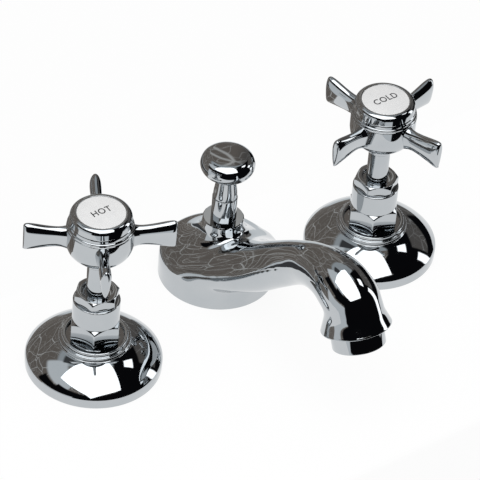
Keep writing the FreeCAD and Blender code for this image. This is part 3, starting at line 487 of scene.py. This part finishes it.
SPINDLE_TOP = 69.5
SPINDLE_OUTLINE = (
    (2.55, 1.7, 0.2),
    (6.2, 1.7, 0.6),
    (6.2, 18.9, 0.6),
    (4.65, 18.9, 0.3),
    (4.65, SQUARE_FOOT, 0.2),
    (4.6, SQUARE_FOOT),
    (4.4, SPINDLE_TOP, 0.3),
    (2.45, SPINDLE_TOP),
    (2.45, 56.5),
    (0.0, 56.5),
    (0.0, 17.5),
    (2.55, 17.5),
)
HUB_OUTLINE = (
    (4.7, 55.5),
    (5.6, 55.5, 0.3),
    (5.6, 58.9, 0.35),
    (12.0, 60.2, 5.0),
    (14.1, 66.6, 3.4),
    (14.1, HUB_TOP, 0.45),
    (9.5, HUB_TOP, 0.2),
    (9.5, 71.5),
    (2.45, 71.5),
    (2.45, 70.0),
    (4.6, 70.0),
    (4.6, SQUARE_FOOT),
    (4.7, SQUARE_FOOT),
)
CAP_OUTLINE = (
    (8.25, 72.1),
    (9.45, 72.1, 0.2),
    (9.45, HUB_TOP),
    (13.9, HUB_TOP, 0.3),
    (13.9, 76.6, 0.55),
    (13.35, 76.6, 0.12),
    (13.35, 78.2, 0.4),
    (13.1, 78.4, 0.1),
    (12.7, 82.6, 2.0),
    (10.25, 82.6, 0.15),
    (10.25, DISC_SEAT),
    (0.0, DISC_SEAT),
    (0.0, 79.5),
    (8.25, 79.5),
)
DISC_TOP = 82.95
DISC_RADIUS = 10.2
DISC_CROWN = 0.45
DISC_OUTLINE = (
    (0.0, DISC_SEAT),
    (DISC_RADIUS, DISC_SEAT),
    (DISC_RADIUS, DISC_TOP - DISC_CROWN, 0.25),
    (5.3, DISC_TOP, 4.4),
    (0.0, DISC_TOP),
)

# Flats: size across, turn about the axis, softness of the edges and spacing of the slices
BONNET_HEX = 20.0
BONNET_TURN = math.radians(-36)
BONNET_SOFTNESS = 0.18
BONNET_SLICE = 0.2
GLAND_HEX = 17.0
GLAND_TURNS = {"hot": math.radians(15), "cold": math.radians(3)}
GLAND_SOFTNESS = 0.14
GLAND_SLICE = 0.15
SPINDLE_SQUARE = 6.4
SPINDLE_SOFTNESS = 0.05
SPINDLE_SLICE = 2.0
# How far the first and the last slice keep inside the ends of the flats
SLICE_INSET = 0.05
HANDLE_TURNS = {"hot": math.radians(61), "cold": math.radians(13)}

# Handle arms: reach, foot height, top height and half thickness, from the hub to the tip
ARM_STATIONS = (
    (11.0, 62.6, 75.9, 4.2),
    (13.6, 63.6, 75.3, 3.5),
    (15.6, 64.7, 74.8, 2.75),
    (18.5, 65.0, 75.0, 2.5),
    (22.5, 64.6, 75.7, 2.6),
    (26.5, 64.0, 76.7, 2.75),
    (29.6, 63.5, 77.3, 2.7),
    (31.0, 63.4, 77.2, 2.2),
)
ARM_TIP_REACH = 31.5
ARM_TIP_EDGE = 0.8
ARM_TIP_BORDER = 0.45
# The foot's thickness as a share of the top's, and how fast it is made up on the way to the top
ARM_FOOT_SHARE = 0.42
ARM_FILL_RATE = 1.5
ARM_SQUARENESS = 0.62
ARM_TOP_SQUARENESS = 0.86
ARM_SEGMENTS = 16
ARM_SUBDIVISIONS = 3
ARM_COUNT = 4
QUAD_CORNERS = 4

# Words: the width and spacing are shares of the plain letters', and the lift is a share of the thickness
LETTER_HEIGHT = 4.6
LETTER_WIDTH_SHARE = 0.88
LETTER_SPACING_SHARE = 1.12
LETTER_BOLDNESS = 0.05
LETTER_THICKNESS = 0.03
LETTER_LIFT_SHARE = 0.6
LETTER_CURVE_STEPS = 6


def valve_place(side):
    """Where a valve's axis stands on the deck."""
    low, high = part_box(f"{side}_spindle")
    middle = (low + high) / 2 / MM
    return Matrix.Translation((middle.x, middle.y, 0))


def make_flange(side):
    """The domed rose on the deck, with its stepped ring."""
    bm = turn_on_lathe(FLANGE_OUTLINE, FINE_STEPS)
    add_piece(bm, f"{side}_rose", "deck_assembly", f"{side}_flange", place=valve_place(side))


def make_bonnet(side):
    """The hexagon with its round collar, down to the barrel."""
    bm = turn_on_lathe(BONNET_OUTLINE, FINE_STEPS)
    slice_levels(bm, BONNET_HEX_FOOT + SLICE_INSET, BONNET_HEX_TOP - SLICE_INSET, BONNET_SLICE)
    press_flats(bm, BONNET_HEX, BONNET_HEX_FOOT, BONNET_HEX_TOP, BONNET_TURN, BONNET_SOFTNESS)
    add_piece(bm, f"{side}_hex_bonnet", "deck_assembly", f"{side}_bonnet", place=valve_place(side))


def make_gland_nut(side):
    """The smaller hexagon on top of the collar."""
    bm = turn_on_lathe(GLAND_OUTLINE, FINE_STEPS)
    slice_levels(bm, BONNET_TOP + SLICE_INSET, GLAND_TOP - SLICE_INSET, GLAND_SLICE)
    press_flats(bm, GLAND_HEX, BONNET_TOP, GLAND_TOP, GLAND_TURNS[side], GLAND_SOFTNESS)
    add_piece(bm, f"{side}_gland_hex", "deck_assembly", f"{side}_gland_nut", place=valve_place(side))


def make_spindle(side):
    """The shaft, round where it shows and square inside the handle."""
    bm = turn_on_lathe(SPINDLE_OUTLINE, COARSE_STEPS)
    start = SQUARE_FOOT + SLICE_INSET
    end = SPINDLE_TOP + SLICE_INSET
    slice_levels(bm, start + SLICE_INSET, SPINDLE_TOP - 2 * SLICE_INSET, SPINDLE_SLICE)
    press_flats(bm, SPINDLE_SQUARE, start, end, HANDLE_TURNS[side], SPINDLE_SOFTNESS, SQUARE_SIDES)
    add_piece(
        bm, f"{side}_spindle_shaft", f"{side}_handle_unit", f"{side}_spindle", place=valve_place(side)
    )


def arm_place(reach, foot, top, half_thickness):
    """Stands an arm's section at its reach along +X."""
    middle = (foot + top) / 2
    columns = (
        (0, half_thickness, 0, 0),
        (0, 0, (top - foot) / 2, 0),
        (1, 0, 0, 0),
        (reach, 0, middle, 1),
    )
    return Matrix(columns).transposed()


def make_handle_arm():
    """One arm along +X: a rounded blade, thick at its top and thin at its foot, widening to its tip."""
    places = [arm_place(*station) for station in ARM_STATIONS]
    bm, rings = loft(places, ARM_SEGMENTS)
    for ring, place in zip(rings, places):
        for vert in ring:
            section = place.inverted() @ vert.co
            height_share = (section.y + 1) / 2
            taper = ARM_FOOT_SHARE + (1 - ARM_FOOT_SHARE) * min(1, height_share * ARM_FILL_RATE)
            squareness = ARM_TOP_SQUARENESS if section.y > 0 else ARM_SQUARENESS
            section.x = square_up(section.x, squareness) * taper
            section.y = square_up(section.y, squareness)
            vert.co = place @ section
    tip = max(bm.faces, key=lambda face: face.calc_center_median().x)
    bmesh.ops.inset_region(bm, faces=[tip], thickness=ARM_TIP_EDGE)
    for vert in tip.verts:
        vert.co.x = ARM_TIP_REACH
    bmesh.ops.inset_region(bm, faces=[tip], thickness=ARM_TIP_BORDER)
    bmesh.ops.triangulate(bm, faces=[face for face in bm.faces if len(face.verts) > QUAD_CORNERS])
    bmesh.ops.recalc_face_normals(bm, faces=bm.faces)
    return bm


def smooth_blade():
    """The arm's blade with its skin subdivided, in millimetres."""
    mesh = take_mesh(make_handle_arm(), "arm_blade_form")
    levels = {"levels": ARM_SUBDIVISIONS, "render_levels": ARM_SUBDIVISIONS}
    return finished_mesh("arm_blade_form", mesh, "SUBSURF", **levels)


def make_handle(side, blade):
    """The hub with its four arms."""
    bm = turn_on_lathe(HUB_OUTLINE, CLOSE_STEPS)
    for number in range(ARM_COUNT):
        turn = Matrix.Rotation(HANDLE_TURNS[side] + math.tau * number / ARM_COUNT, 4, "Z")
        known = set(bm.verts)
        bm.from_mesh(blade)
        bmesh.ops.transform(bm, matrix=turn, verts=[vert for vert in bm.verts if vert not in known])
    add_piece(
        bm, f"{side}_cross_head", f"{side}_handle_unit", f"{side}_cross_handle", place=valve_place(side)
    )


def make_cap(side):
    """The stepped cap on the hub, and the disc let into it."""
    body = f"{side}_handle_unit"
    place = valve_place(side)
    cap = turn_on_lathe(CAP_OUTLINE, CLOSE_STEPS)
    add_piece(cap, f"{side}_cap_ring", body, f"{side}_index_cap", place=place)
    disc = turn_on_lathe(DISC_OUTLINE)
    add_piece(disc, f"{side}_enamel_disc", body, f"{side}_index_disc", slot="index_white", place=place)


def make_index_word(side):
    """The word on the index disc, laid on its crown."""
    words = bpy.data.curves.new(f"{side}_word_form", "FONT")
    words.body = side.upper()
    words.size = LETTER_HEIGHT
    words.space_character = LETTER_SPACING_SHARE
    words.offset = LETTER_BOLDNESS
    words.align_x = "CENTER"
    words.align_y = "CENTER"
    words.extrude = LETTER_THICKNESS
    words.resolution_u = LETTER_CURVE_STEPS
    bm = bmesh.new()
    bm.from_mesh(finished_mesh(f"{side}_word_form", words))
    bmesh.ops.remove_doubles(bm, verts=bm.verts, dist=MEETING_GAP)
    for vert in bm.verts:
        vert.co.x *= LETTER_WIDTH_SHARE
        reach_share = from_axis(vert.co) / DISC_RADIUS
        vert.co.z += DISC_TOP - DISC_CROWN * reach_share ** 2 + LETTER_THICKNESS * LETTER_LIFT_SHARE
    body = f"{side}_handle_unit"
    place = valve_place(side)
    add_piece(bm, f"{side}_index_word", body, slot="index_white", finish=INK, place=place)


def make_valves():
    """Both valves, piece by piece from the deck up."""
    blade = smooth_blade()
    for side in SIDES:
        make_flange(side)
        make_bonnet(side)
        make_gland_nut(side)
        make_spindle(side)
        make_handle(side, blade)
        make_cap(side)
        make_index_word(side)


# Spout

# The base is cast this much past its foot and its neck, and cut off there
CASTING_OVERRUN = 4.0
NECK_TOP = 31.5
NECK_EDGE = 0.35
BASE_OUTLINE = (
    (0.0, -CASTING_OVERRUN),
    (25.4, -CASTING_OVERRUN),
    (25.4, 9.0, 0.4),
    (25.0, 12.6, 1.8),
    (13.2, 17.6, 9.0),
    (9.3, 26.5, 3.5),
    (8.5, NECK_TOP + CASTING_OVERRUN),
    (0.0, NECK_TOP + CASTING_OVERRUN),
)
# The foot stands a little off the lift rod's axis, and the neck is true to it
FOOT_OFFSET = Vector((-0.8, 1.0, 0.0))
OFFSET_FOOT = 8.0
OFFSET_TOP = 26.0
# The hollow under the foot: radius and level of each step, up to the rod's bore
ROD_BORE = 4.55
FOOT_STEPS = (
    (23.6, 0.0),
    (23.6, 2.05),
    (17.95, 2.05),
    (17.95, 0.0),
    (10.5, 0.0),
    (10.5, 12.0),
    (9.0, 12.0),
    (9.0, 18.5),
    (ROD_BORE, 18.5),
)

# The outlet's axis leans, and the lip and the ball lie on it
OUTLET_LEAN = math.radians(22)
LIP_REACH = 95.0
LIP_HEIGHT = 42.2
BALL_RISE = 6.0
# Arm sections: reach, height, half width, half height, climb in degrees, and how keen the side edges are
# from above and from below: under 1 is boxy, 1 is round and more is keen
ARM_SECTIONS = (
    (-8.0, 10.4, 22.6, 6.4, 2, 1.4, 0.45),
    (3.0, 13.0, 24.7, 7.4, 8, 1.4, 0.45),
    (16.0, 17.4, 20.2, 9.9, 22, 1.5, 0.55),
    (29.0, 25.2, 14.6, 10.7, 34, 1.55, 0.9),
    (41.0, 35.4, 10.8, 10.2, 38, 1.65, 1.3),
    (54.0, 46.1, 9.3, 9.7, 34, 1.6, 1.35),
    (66.0, 53.1, 9.9, 10.2, 22, 1.35, 1.2),
    (78.0, 56.5, 11.4, 11.3, -8, 1.08, 1.05),
    (87.2, 54.6, 12.3, 12.3, -42, 1.0, 1.0),
)
# Bell rings: rise above the lip and radius
BELL_RINGS = (
    (9.4, 12.35),
    (6.6, 12.65),
    (4.6, 13.3),
    (2.6, 14.1),
    (0.9, 14.75),
    (-1.0, 15.5),
)
ROUND_SECTION = 1.0
SECTION_STEPS = 8
SECTION_SEGMENTS = 96
# The lip is cut at this rise, then rounded and hollowed: radius and rise of each step
LIP_CUT = 0.95
LIP_STEPS = (
    (14.88, 0.62),
    (14.9, 0.42),
    (14.82, 0.22),
    (14.65, 0.07),
    (14.4, 0.0),
    (12.9, 0.0),
    (12.68, 0.08),
    (12.6, 0.3),
    (12.6, 2.6),
    (9.85, 2.6),
    (9.85, 9.2),
    (7.66, 9.2),
    (7.66, 14.3),
)

# Rubbing down: rounds over the whole casting before and after the rest, and rounds within each reach of both
# the base and the arm
CASTING_VOXEL = 0.5
RUB_STRENGTH = 0.5
FIRST_ROUNDS = 8
JUNCTION_ROUNDS = ((3.5, 40), (6.0, 30), (9.0, 15))
LAST_ROUNDS = 6
# The saddle round the neck, where the arm starts
SADDLE_REACH = 17.0
SADDLE_FOOT = 16.0
SADDLE_TOP = 28.5
SADDLE_ROUNDS = 80

# How far from each end of the casting its cut takes hold
FOOT_CUT_HOLD = 3
NECK_CUT_HOLD = 3
NECK_CUT_REACH = 12.0
LIP_CUT_HOLD = 20

ROD_HOLE = 2.55
BUSH_OUTLINE = (
    (3.65, 21.0),
    (4.5, 21.0, 0.2),
    (4.5, NECK_TOP),
    (5.5, NECK_TOP, 0.2),
    (5.45, 43.0, 0.3),
    (ROD_HOLE, 43.0, 0.2),
    (ROD_HOLE, 23.5),
    (3.65, 23.5),
)
KNOB_OUTLINE = (
    (ROD_HOLE, 43.2),
    (5.25, 43.2, 0.25),
    (5.15, 45.5, 1.0),
    (4.2, 52.6, 0.6),
    (5.1, 53.2, 0.35),
    (5.1, 54.4, 0.45),
    (6.2, 55.4, 1.0),
    (11.7, 57.5, 3.2),
    (11.7, 62.3, 2.4),
    (9.7, 65.3, 2.6),
    (0.0, 66.1),
    (0.0, 52.2),
    (ROD_HOLE, 52.2),
)
# Nozzle heights are from the ball's middle
NOZZLE_OUTLINE = (
    (9.6, -14.0, 0.2),
    (11.3, -14.0, 0.35),
    (11.3, -6.0, 0.3),
    (5.6, -6.0),
    (5.6, -5.71),
    (7.7, -2.6, 0.9),
    (8.3, 1.0, 2.2),
    (6.24, 5.0),
    (4.0, 5.0, 0.2),
    (4.0, -8.0),
    (9.6, -8.0),
)


def arm_section_place(reach, height, half_width, half_height, climb, *_):
    """Stands a section of the spout's arm square to its way."""
    lean = Matrix.Rotation(math.radians(RIGHT_ANGLE - climb), 4, "X")
    spread = Matrix.Diagonal((half_width, half_height, 1, 1))
    return Matrix.Translation((0, -reach, height)) @ lean @ spread


def outlet_place(rise):
    """A place on the outlet's leaning axis, above the lip."""
    y = rise * math.sin(OUTLET_LEAN) - LIP_REACH
    z = rise * math.cos(OUTLET_LEAN) + LIP_HEIGHT
    return Matrix.Translation((0, y, z)) @ Matrix.Rotation(-OUTLET_LEAN, 4, "X")


def arm_rows():
    """The arm's sections with the bell's rings after them."""
    rows = list(ARM_SECTIONS)
    climb = math.degrees(OUTLET_LEAN) - RIGHT_ANGLE
    for rise, radius in BELL_RINGS:
        middle = outlet_place(rise).translation
        rows.append((-middle.y, middle.z, radius, radius, climb, ROUND_SECTION, ROUND_SECTION))
    return rows


def make_arm_form():
    """The arm from inside the base to below the lip, with keen side edges that fade out at the bend."""
    rows = list(glide(arm_rows(), SECTION_STEPS))
    places = [arm_section_place(*row) for row in rows]
    bm, rings = loft(places, SECTION_SEGMENTS)
    for ring, place, (*_, keen_above, keen_below) in zip(rings, places, rows):
        for vert in ring:
            section = place.inverted() @ vert.co
            section.y = square_up(section.y, keen_above if section.y > 0 else keen_below)
            vert.co = place @ section
    bmesh.ops.recalc_face_normals(bm, faces=bm.faces)
    return bm


def make_base_form():
    """The round base with its neck, the foot set a little off the axis."""
    bm = turn_on_lathe(BASE_OUTLINE, FINE_STEPS)
    for vert in bm.verts:
        share = (OFFSET_TOP - vert.co.z) / (OFFSET_TOP - OFFSET_FOOT)
        share = min(1, max(0, share))
        vert.co += FOOT_OFFSET * share ** 2 * (3 - 2 * share)
    return bm


def cast_form():
    """The spout's base and arm run together as one skin, in millimetres, and each of them alone."""
    base = make_base_form()
    arm = make_arm_form()
    shells = [BVHTree.FromBMesh(base), BVHTree.FromBMesh(arm)]
    base.from_mesh(take_mesh(arm, "spout_arm_form"))
    both = take_mesh(base, "spout_form")
    bm = bmesh.new()
    bm.from_mesh(finished_mesh("spout_form", both, "REMESH", mode="VOXEL", voxel_size=CASTING_VOXEL))
    return bm, shells


def rub_down(bm, verts, rounds):
    """Evens out part of the casting's skin."""
    for _ in range(rounds):
        bmesh.ops.smooth_vert(
            bm, verts=verts, factor=RUB_STRENGTH, use_axis_x=True, use_axis_y=True, use_axis_z=True
        )


def on_saddle(spot):
    """Whether a place is on the saddle round the neck."""
    return from_axis(spot) < SADDLE_REACH and SADDLE_FOOT < spot.z < SADDLE_TOP


def blend_junction(bm, shells):
    """Rubs down the casting, most of all where the arm leaves the base."""
    rub_down(bm, bm.verts[:], FIRST_ROUNDS)
    nearness = {}
    for vert in bm.verts:
        nearest = [shell.find_nearest(vert.co) for shell in shells]
        nearness[vert] = max(distance for *_, distance in nearest)
    for reach, rounds in JUNCTION_ROUNDS:
        rub_down(bm, [vert for vert in bm.verts if nearness[vert] < reach], rounds)
    rub_down(bm, [vert for vert in bm.verts if on_saddle(vert.co)], SADDLE_ROUNDS)
    rub_down(bm, bm.verts[:], LAST_ROUNDS)


def cut_off(bm, point, normal, belongs):
    """Cuts off what lies beyond a plane, of the faces that belong to that end, and gives the cut's edge."""
    end = [face for face in bm.faces if belongs(face.calc_center_median())]
    geom = {item for face in end for item in (*face.verts, *face.edges, face)}
    cut = bmesh.ops.bisect_plane(
        bm, geom=list(geom), dist=CUT_GAP, plane_co=point, plane_no=normal, clear_outer=True
    )
    return only(BMEdge, cut["geom_cut"])


def step_edge(bm, edges, radius, level, place=Matrix.Identity(4)):
    """Carries a round edge on to another radius and level about a place's own axis."""
    points, edges = draw_out(bm, edges)
    for vert in points:
        spot = place.inverted() @ vert.co
        share = radius / from_axis(spot)
        vert.co = place @ Vector((spot.x * share, spot.y * share, level))
    return edges


def bore_neck(bm):
    """Cuts the foot and the neck flat and bores the casting through for the lift rod."""
    foot = cut_off(bm, (0, 0, 0), -UP, lambda spot: spot.z < FOOT_CUT_HOLD)
    for radius, level in FOOT_STEPS:
        foot = step_edge(bm, foot, radius, level)
    neck = cut_off(
        bm,
        (0, 0, NECK_TOP - NECK_EDGE),
        UP,
        lambda spot: spot.z > NECK_TOP - NECK_CUT_HOLD and from_axis(spot) < NECK_CUT_REACH,
    )
    rim = max(from_axis(vert.co) for edge in neck for vert in edge.verts)
    for radius in (rim - NECK_EDGE, ROD_BORE):
        neck = step_edge(bm, neck, radius, NECK_TOP)
    bmesh.ops.bridge_loops(bm, edges=foot + neck)


def open_mouth(bm):
    """Cuts the bell's lip flat, rounds it and hollows the mouth for the nozzle's ball."""
    lip = cut_off(
        bm,
        outlet_place(LIP_CUT).translation,
        -(outlet_place(0).to_3x3() @ UP),
        lambda spot: -spot.y > LIP_REACH - LIP_CUT_HOLD,
    )
    for radius, level in LIP_STEPS:
        lip = step_edge(bm, lip, radius, level, outlet_place(0))
    bmesh.ops.contextual_create(bm, geom=lip)


def make_spout():
    """The casting: base, arm and bell in one."""
    bm, shells = cast_form()
    blend_junction(bm, shells)
    bore_neck(bm)
    open_mouth(bm)
    bmesh.ops.recalc_face_normals(bm, faces=bm.faces)
    add_piece(bm, "spout_casting", "deck_assembly", "spout_body")


def make_lift_knob():
    """The bush on the neck, and the knob on the lift rod."""
    add_piece(turn_on_lathe(BUSH_OUTLINE), "rod_bush", "deck_assembly", "lift_rod_bush")
    add_piece(turn_on_lathe(KNOB_OUTLINE, CLOSE_STEPS), "pull_knob", "lift_rod_unit", "lift_knob")


def make_nozzle():
    """The skirt below the lip, in one with its ball."""
    bm = turn_on_lathe(NOZZLE_OUTLINE, CLOSE_STEPS)
    add_piece(bm, "nozzle_skirt", "nozzle_unit", "nozzle", place=outlet_place(BALL_RISE))


def finish_solids():
    """Gives every solid that still shows its finish."""
    slots = {part["node"]: part["material_slot"] for part in frame["record"]["subparts"]}
    for name, node in frame["nodes"].items():
        finish = THREADED_BRASS if name in THREADED_NODES else BY_SLOT[slots[name]]
        for slot in node.material_slots:
            slot.material = finish


# Studio

CAMERA_PLACE = Vector((-0.7465, -0.9666, 1.0788))
CAMERA_BEARING = math.radians(38.05)
CAMERA_RISE = math.radians(40.96)
CAMERA_ROLL = math.radians(4.92)
CAMERA_LENS = 282.2
CAMERA_SENSOR = 36.0


def set_camera():
    """A long lens at the hot side's front, looking down."""
    camera = bpy.data.cameras.new("photo_camera")
    camera.lens = CAMERA_LENS
    camera.sensor_width = CAMERA_SENSOR
    holder = add_object("photo_camera", camera)
    back = Vector(
        (
            -math.sin(CAMERA_BEARING) * math.cos(CAMERA_RISE),
            -math.cos(CAMERA_BEARING) * math.cos(CAMERA_RISE),
            math.sin(CAMERA_RISE),
        )
    )
    right = Vector((math.cos(CAMERA_BEARING), -math.sin(CAMERA_BEARING), 0))
    across = Matrix((right, back.cross(right), back)).transposed()
    turn = across.to_4x4() @ Matrix.Rotation(CAMERA_ROLL, 4, "Z")
    holder.matrix_world = Matrix.Translation(CAMERA_PLACE) @ turn
    bpy.context.scene.camera = holder


SLAB_LOW = Vector((-0.36, -0.132, -0.13))
SLAB_HIGH = Vector((0.30, 0.036, -0.0002))
SLAB_EDGE = 0.004
SLAB_EDGE_STEPS = 4
SLAB_COLOUR = (1, 1, 1, 1)
SLAB_GLOW = 0.93
GLOW_STRENGTH = 1.0


def show_rays(tree):
    """1 for the rays that show a surface in the picture or in polish and glass, else 0."""
    path = add_node(tree, "LightPath").outputs
    total = path["Is Camera Ray"]
    for name in ("Is Glossy Ray", "Is Transmission Ray"):
        total = add_node(tree, "Math", {0: total, 1: path[name]}, operation="MAXIMUM").outputs[0]
    return total


def pale_finish():
    """Matt white that keeps shadows, and is lit up a little where it shows."""
    material = bpy.data.materials.new("pale_floor")
    material.use_nodes = True
    tree = material.node_tree
    tree.nodes.remove(tree.nodes["Principled BSDF"])
    matt = add_node(tree, "BsdfDiffuse", {"Color": SLAB_COLOUR})
    glow = add_node(tree, "Emission", {"Strength": GLOW_STRENGTH})
    share = add_node(tree, "Math", {0: show_rays(tree), 1: SLAB_GLOW}, operation="MULTIPLY")
    mix = add_node(tree, "MixShader", {"Fac": share.outputs[0], 1: matt.outputs[0], 2: glow.outputs[0]})
    tree.links.new(mix.outputs[0], tree.nodes["Material Output"].inputs["Surface"])
    return material


def make_floor():
    """A pale slab, as a ledge that the tap stands on."""
    bm = bmesh.new()
    span = SLAB_HIGH - SLAB_LOW
    place = Matrix.Translation((SLAB_LOW + SLAB_HIGH) / 2) @ Matrix.Diagonal((*span, 1))
    bmesh.ops.create_cube(bm, size=1, matrix=place)
    bmesh.ops.bevel(
        bm,
        geom=bm.edges[:],
        offset=SLAB_EDGE,
        segments=SLAB_EDGE_STEPS,
        profile=ROUND_PROFILE,
        affect="EDGES",
        material=-1,
    )
    mesh = take_mesh(bm, "pale_floor")
    mesh.materials.append(pale_finish())
    floor = add_object("pale_floor", mesh)


LAMP_SIZE = (1.08, 1.26)
LAMP_PLACE = (-0.29, -0.41, 1.0)
LAMP_ENERGY = 9.3


def make_lamps():
    """A soft overhead lamp that reaches out to the camera's side."""
    lamp = bpy.data.lights.new("overhead_softbox", "AREA")
    lamp.shape = "RECTANGLE"
    lamp.size, lamp.size_y = LAMP_SIZE
    lamp.energy = LAMP_ENERGY
    add_object("overhead_softbox", lamp).location = LAMP_PLACE


HALF_TURN = 180.0
# The net's bends against its meshes, and how the strands wave and fade out
BEND_SCALE_SHARE = 0.6
SWAY_SCALE = 2.2
SWAY_SPACINGS = 4
STRAND_SIDE_BLUR = 8
STRAND_END_BLUR = 3


class Sky:
    """The studio's surroundings, painted by bearing and rise in degrees.

    Bearings run from 0 on the cold side through 90 behind the tap to 180 on the hot side and 270 in front.
    """

    def __init__(self, ground):
        world = bpy.data.worlds.new("studio")
        bpy.context.scene.world = world
        world.use_nodes = True
        self.tree = world.node_tree
        self.tree.nodes.clear()
        self.way = add_node(self.tree, "TexCoord").outputs["Generated"]
        parts = add_node(self.tree, "SeparateXYZ", {0: self.way}).outputs
        self.rise = self.maths("DEGREES", self.maths("ARCSINE", parts["Z"]))
        self.bearing = self.maths("DEGREES", self.maths("ARCTAN2", parts["Y"], parts["X"]))
        self.colour = (*ground, 1)

    def maths(self, operation, *values):
        """The outcome of an operation on numbers or other nodes' outputs."""
        return add_node(self.tree, "Math", dict(enumerate(values)), operation=operation).outputs[0]

    def ease(self, value, zero_at, one_at):
        """Goes softly from 0 to 1 between two levels."""
        inputs = {
            "Value": value,
            "From Min": min(zero_at, one_at),
            "From Max": max(zero_at, one_at),
            "To Min": float(zero_at > one_at),
            "To Max": float(zero_at < one_at),
        }
        return add_node(self.tree, "MapRange", inputs, interpolation_type="SMOOTHSTEP").outputs["Result"]

    def between(self, value, low, high, blur):
        """1 inside a span, falling to 0 over the blur outside it."""
        rises = self.ease(value, low - blur, low)
        falls = self.ease(value, high + blur, high)
        return self.maths("MULTIPLY", rises, falls)

    def patch(self, bearing, half_width, low, high, side_blur, end_blur):
        """1 on a patch of wall round a bearing and between two rises, else 0."""
        shifted = self.maths("SUBTRACT", self.bearing, bearing)
        off_middle = self.maths("WRAP", shifted, HALF_TURN, -HALF_TURN)
        across = self.between(off_middle, -half_width, half_width, side_blur)
        return self.maths("MULTIPLY", across, self.between(self.rise, low, high, end_blur))

    def paint(self, mask, colour):
        """Lays a colour over what is there, where the mask is 1."""
        inputs = {"Factor": mask, "A": self.colour, "B": (*colour, 1)}
        self.colour = add_node(self.tree, "Mix", inputs, data_type="RGBA").outputs["Result"]

    def waves(self, scale):
        """Slow waves for lines to follow."""
        return add_node(self.tree, "TexNoise", {"Vector": self.way, "Scale": scale, "Detail": 0.0}).outputs

    def web(self, scale, bend, width, colour, share):
        """Thin curved lines, as a net of pale cords on the wall."""
        waves = self.waves(scale * BEND_SCALE_SHARE)["Color"]
        inputs = {0: waves, 1: (bend, bend, bend), 2: self.way}
        lean = add_node(self.tree, "VectorMath", inputs, operation="MULTIPLY_ADD")
        inputs = {"Vector": lean.outputs[0], "Scale": scale}
        cells = add_node(self.tree, "TexVoronoi", inputs, feature="DISTANCE_TO_EDGE")
        lines = self.ease(cells.outputs["Distance"], width, 0.0)
        self.paint(self.maths("MULTIPLY", lines, share), colour)

    def strands(self, bearing, half_width, low, high, spacing, width, colour, share):
        """Thin level lines, one above the other, that wave a little."""
        waves = self.waves(SWAY_SCALE)["Fac"]
        sway = self.maths("MULTIPLY_ADD", waves, spacing * SWAY_SPACINGS, self.rise)
        lines = self.ease(self.maths("PINGPONG", sway, spacing / 2), width, 0.0)
        patch = self.patch(bearing, half_width, low, high, STRAND_SIDE_BLUR, STRAND_END_BLUR)
        self.paint(self.maths("MULTIPLY", self.maths("MULTIPLY", lines, patch), share), colour)

    def card(self, bearing, half_width, low, high, blur, colour, share=1.0):
        """A card round part of the studio."""
        patch = self.patch(bearing, half_width, low, high, blur, blur)
        self.paint(self.maths("MULTIPLY", patch, share), colour)

    def light_up(self):
        """Makes what is painted the scene's surroundings."""
        background = add_node(self.tree, "Background", {"Color": self.colour})
        add_node(self.tree, "OutputWorld", {"Surface": background.outputs[0]})


DARK_BROWN = (0.175, 0.152, 0.134)
PALE_LINE = (0.60, 0.59, 0.57)
DARK_GREY = (0.060, 0.062, 0.065)
MID_GREY = (0.42, 0.45, 0.47)
PALE_GREY = (0.74, 0.77, 0.79)
BLACK = (0.004, 0.004, 0.005)
WHITE = (2.2, 2.2, 2.2)
AMBIENT = (0.42, 0.42, 0.42)
BACKDROP = (0.985, 0.985, 0.985)
# Cards: bearing, half width, lowest and highest rise and blur in degrees, colour and, where it isn't whole,
# the share that it covers
CARDS = (
    (108, 60, -16.6, -15.2, 0.5, PALE_GREY),
    (108, 60, -26, -17.4, 0.8, DARK_GREY),
    (62, 72, 54, 90, 5, MID_GREY),
    (157, 32, 42, 62, 5, PALE_GREY),
    (16, 26, -6, 48, 8, DARK_GREY, 0.55),
    (48, 17, -40, -9, 4, PALE_GREY),
    (112, 12, 60, 73, 3, DARK_GREY),
    (261, 89, 18, 42, 3, BLACK),
    (158, 14, 22, 35, 3, BLACK),
    (278, 72, -2, 18, 3, BLACK),
    (281, 74, -24, 2, 3, BLACK),
    (302, 52, -50, 2, 3, BLACK),
    (332, 47, 40, 68, 3, BLACK),
    (11, 19, -35, 12, 3, BLACK),
    (228, 34, -70, -24, 3, PALE_GREY),
    (181, 24, -60, 11, 3, PALE_GREY),
    (349, 8, 48, 57, 1.5, WHITE),
    (341, 5, -14, 30, 2, WHITE),
)


def make_surroundings():
    """Brown walls with pale lines and cards for the polish to mirror, and a plain pale backdrop."""
    sky = Sky(DARK_BROWN)
    sky.web(scale=3.0, bend=0.4, width=0.030, colour=PALE_LINE, share=0.95)
    sky.web(scale=6.5, bend=0.3, width=0.026, colour=PALE_LINE, share=0.5)
    sky.strands(
        bearing=95, half_width=60, low=-30, high=2, spacing=3.2, width=0.4, colour=PALE_LINE, share=0.6
    )
    for card in CARDS:
        sky.card(*card)
    rays = add_node(sky.tree, "LightPath").outputs
    sky.paint(rays["Is Camera Ray"], BACKDROP)
    sky.paint(rays["Is Diffuse Ray"], AMBIENT)
    sky.light_up()


make_valves()
make_spout()
make_lift_knob()
make_nozzle()
finish_solids()
set_camera()
make_floor()
make_lamps()
make_surroundings()
bpy.context.scene.view_settings.view_transform = "Standard"
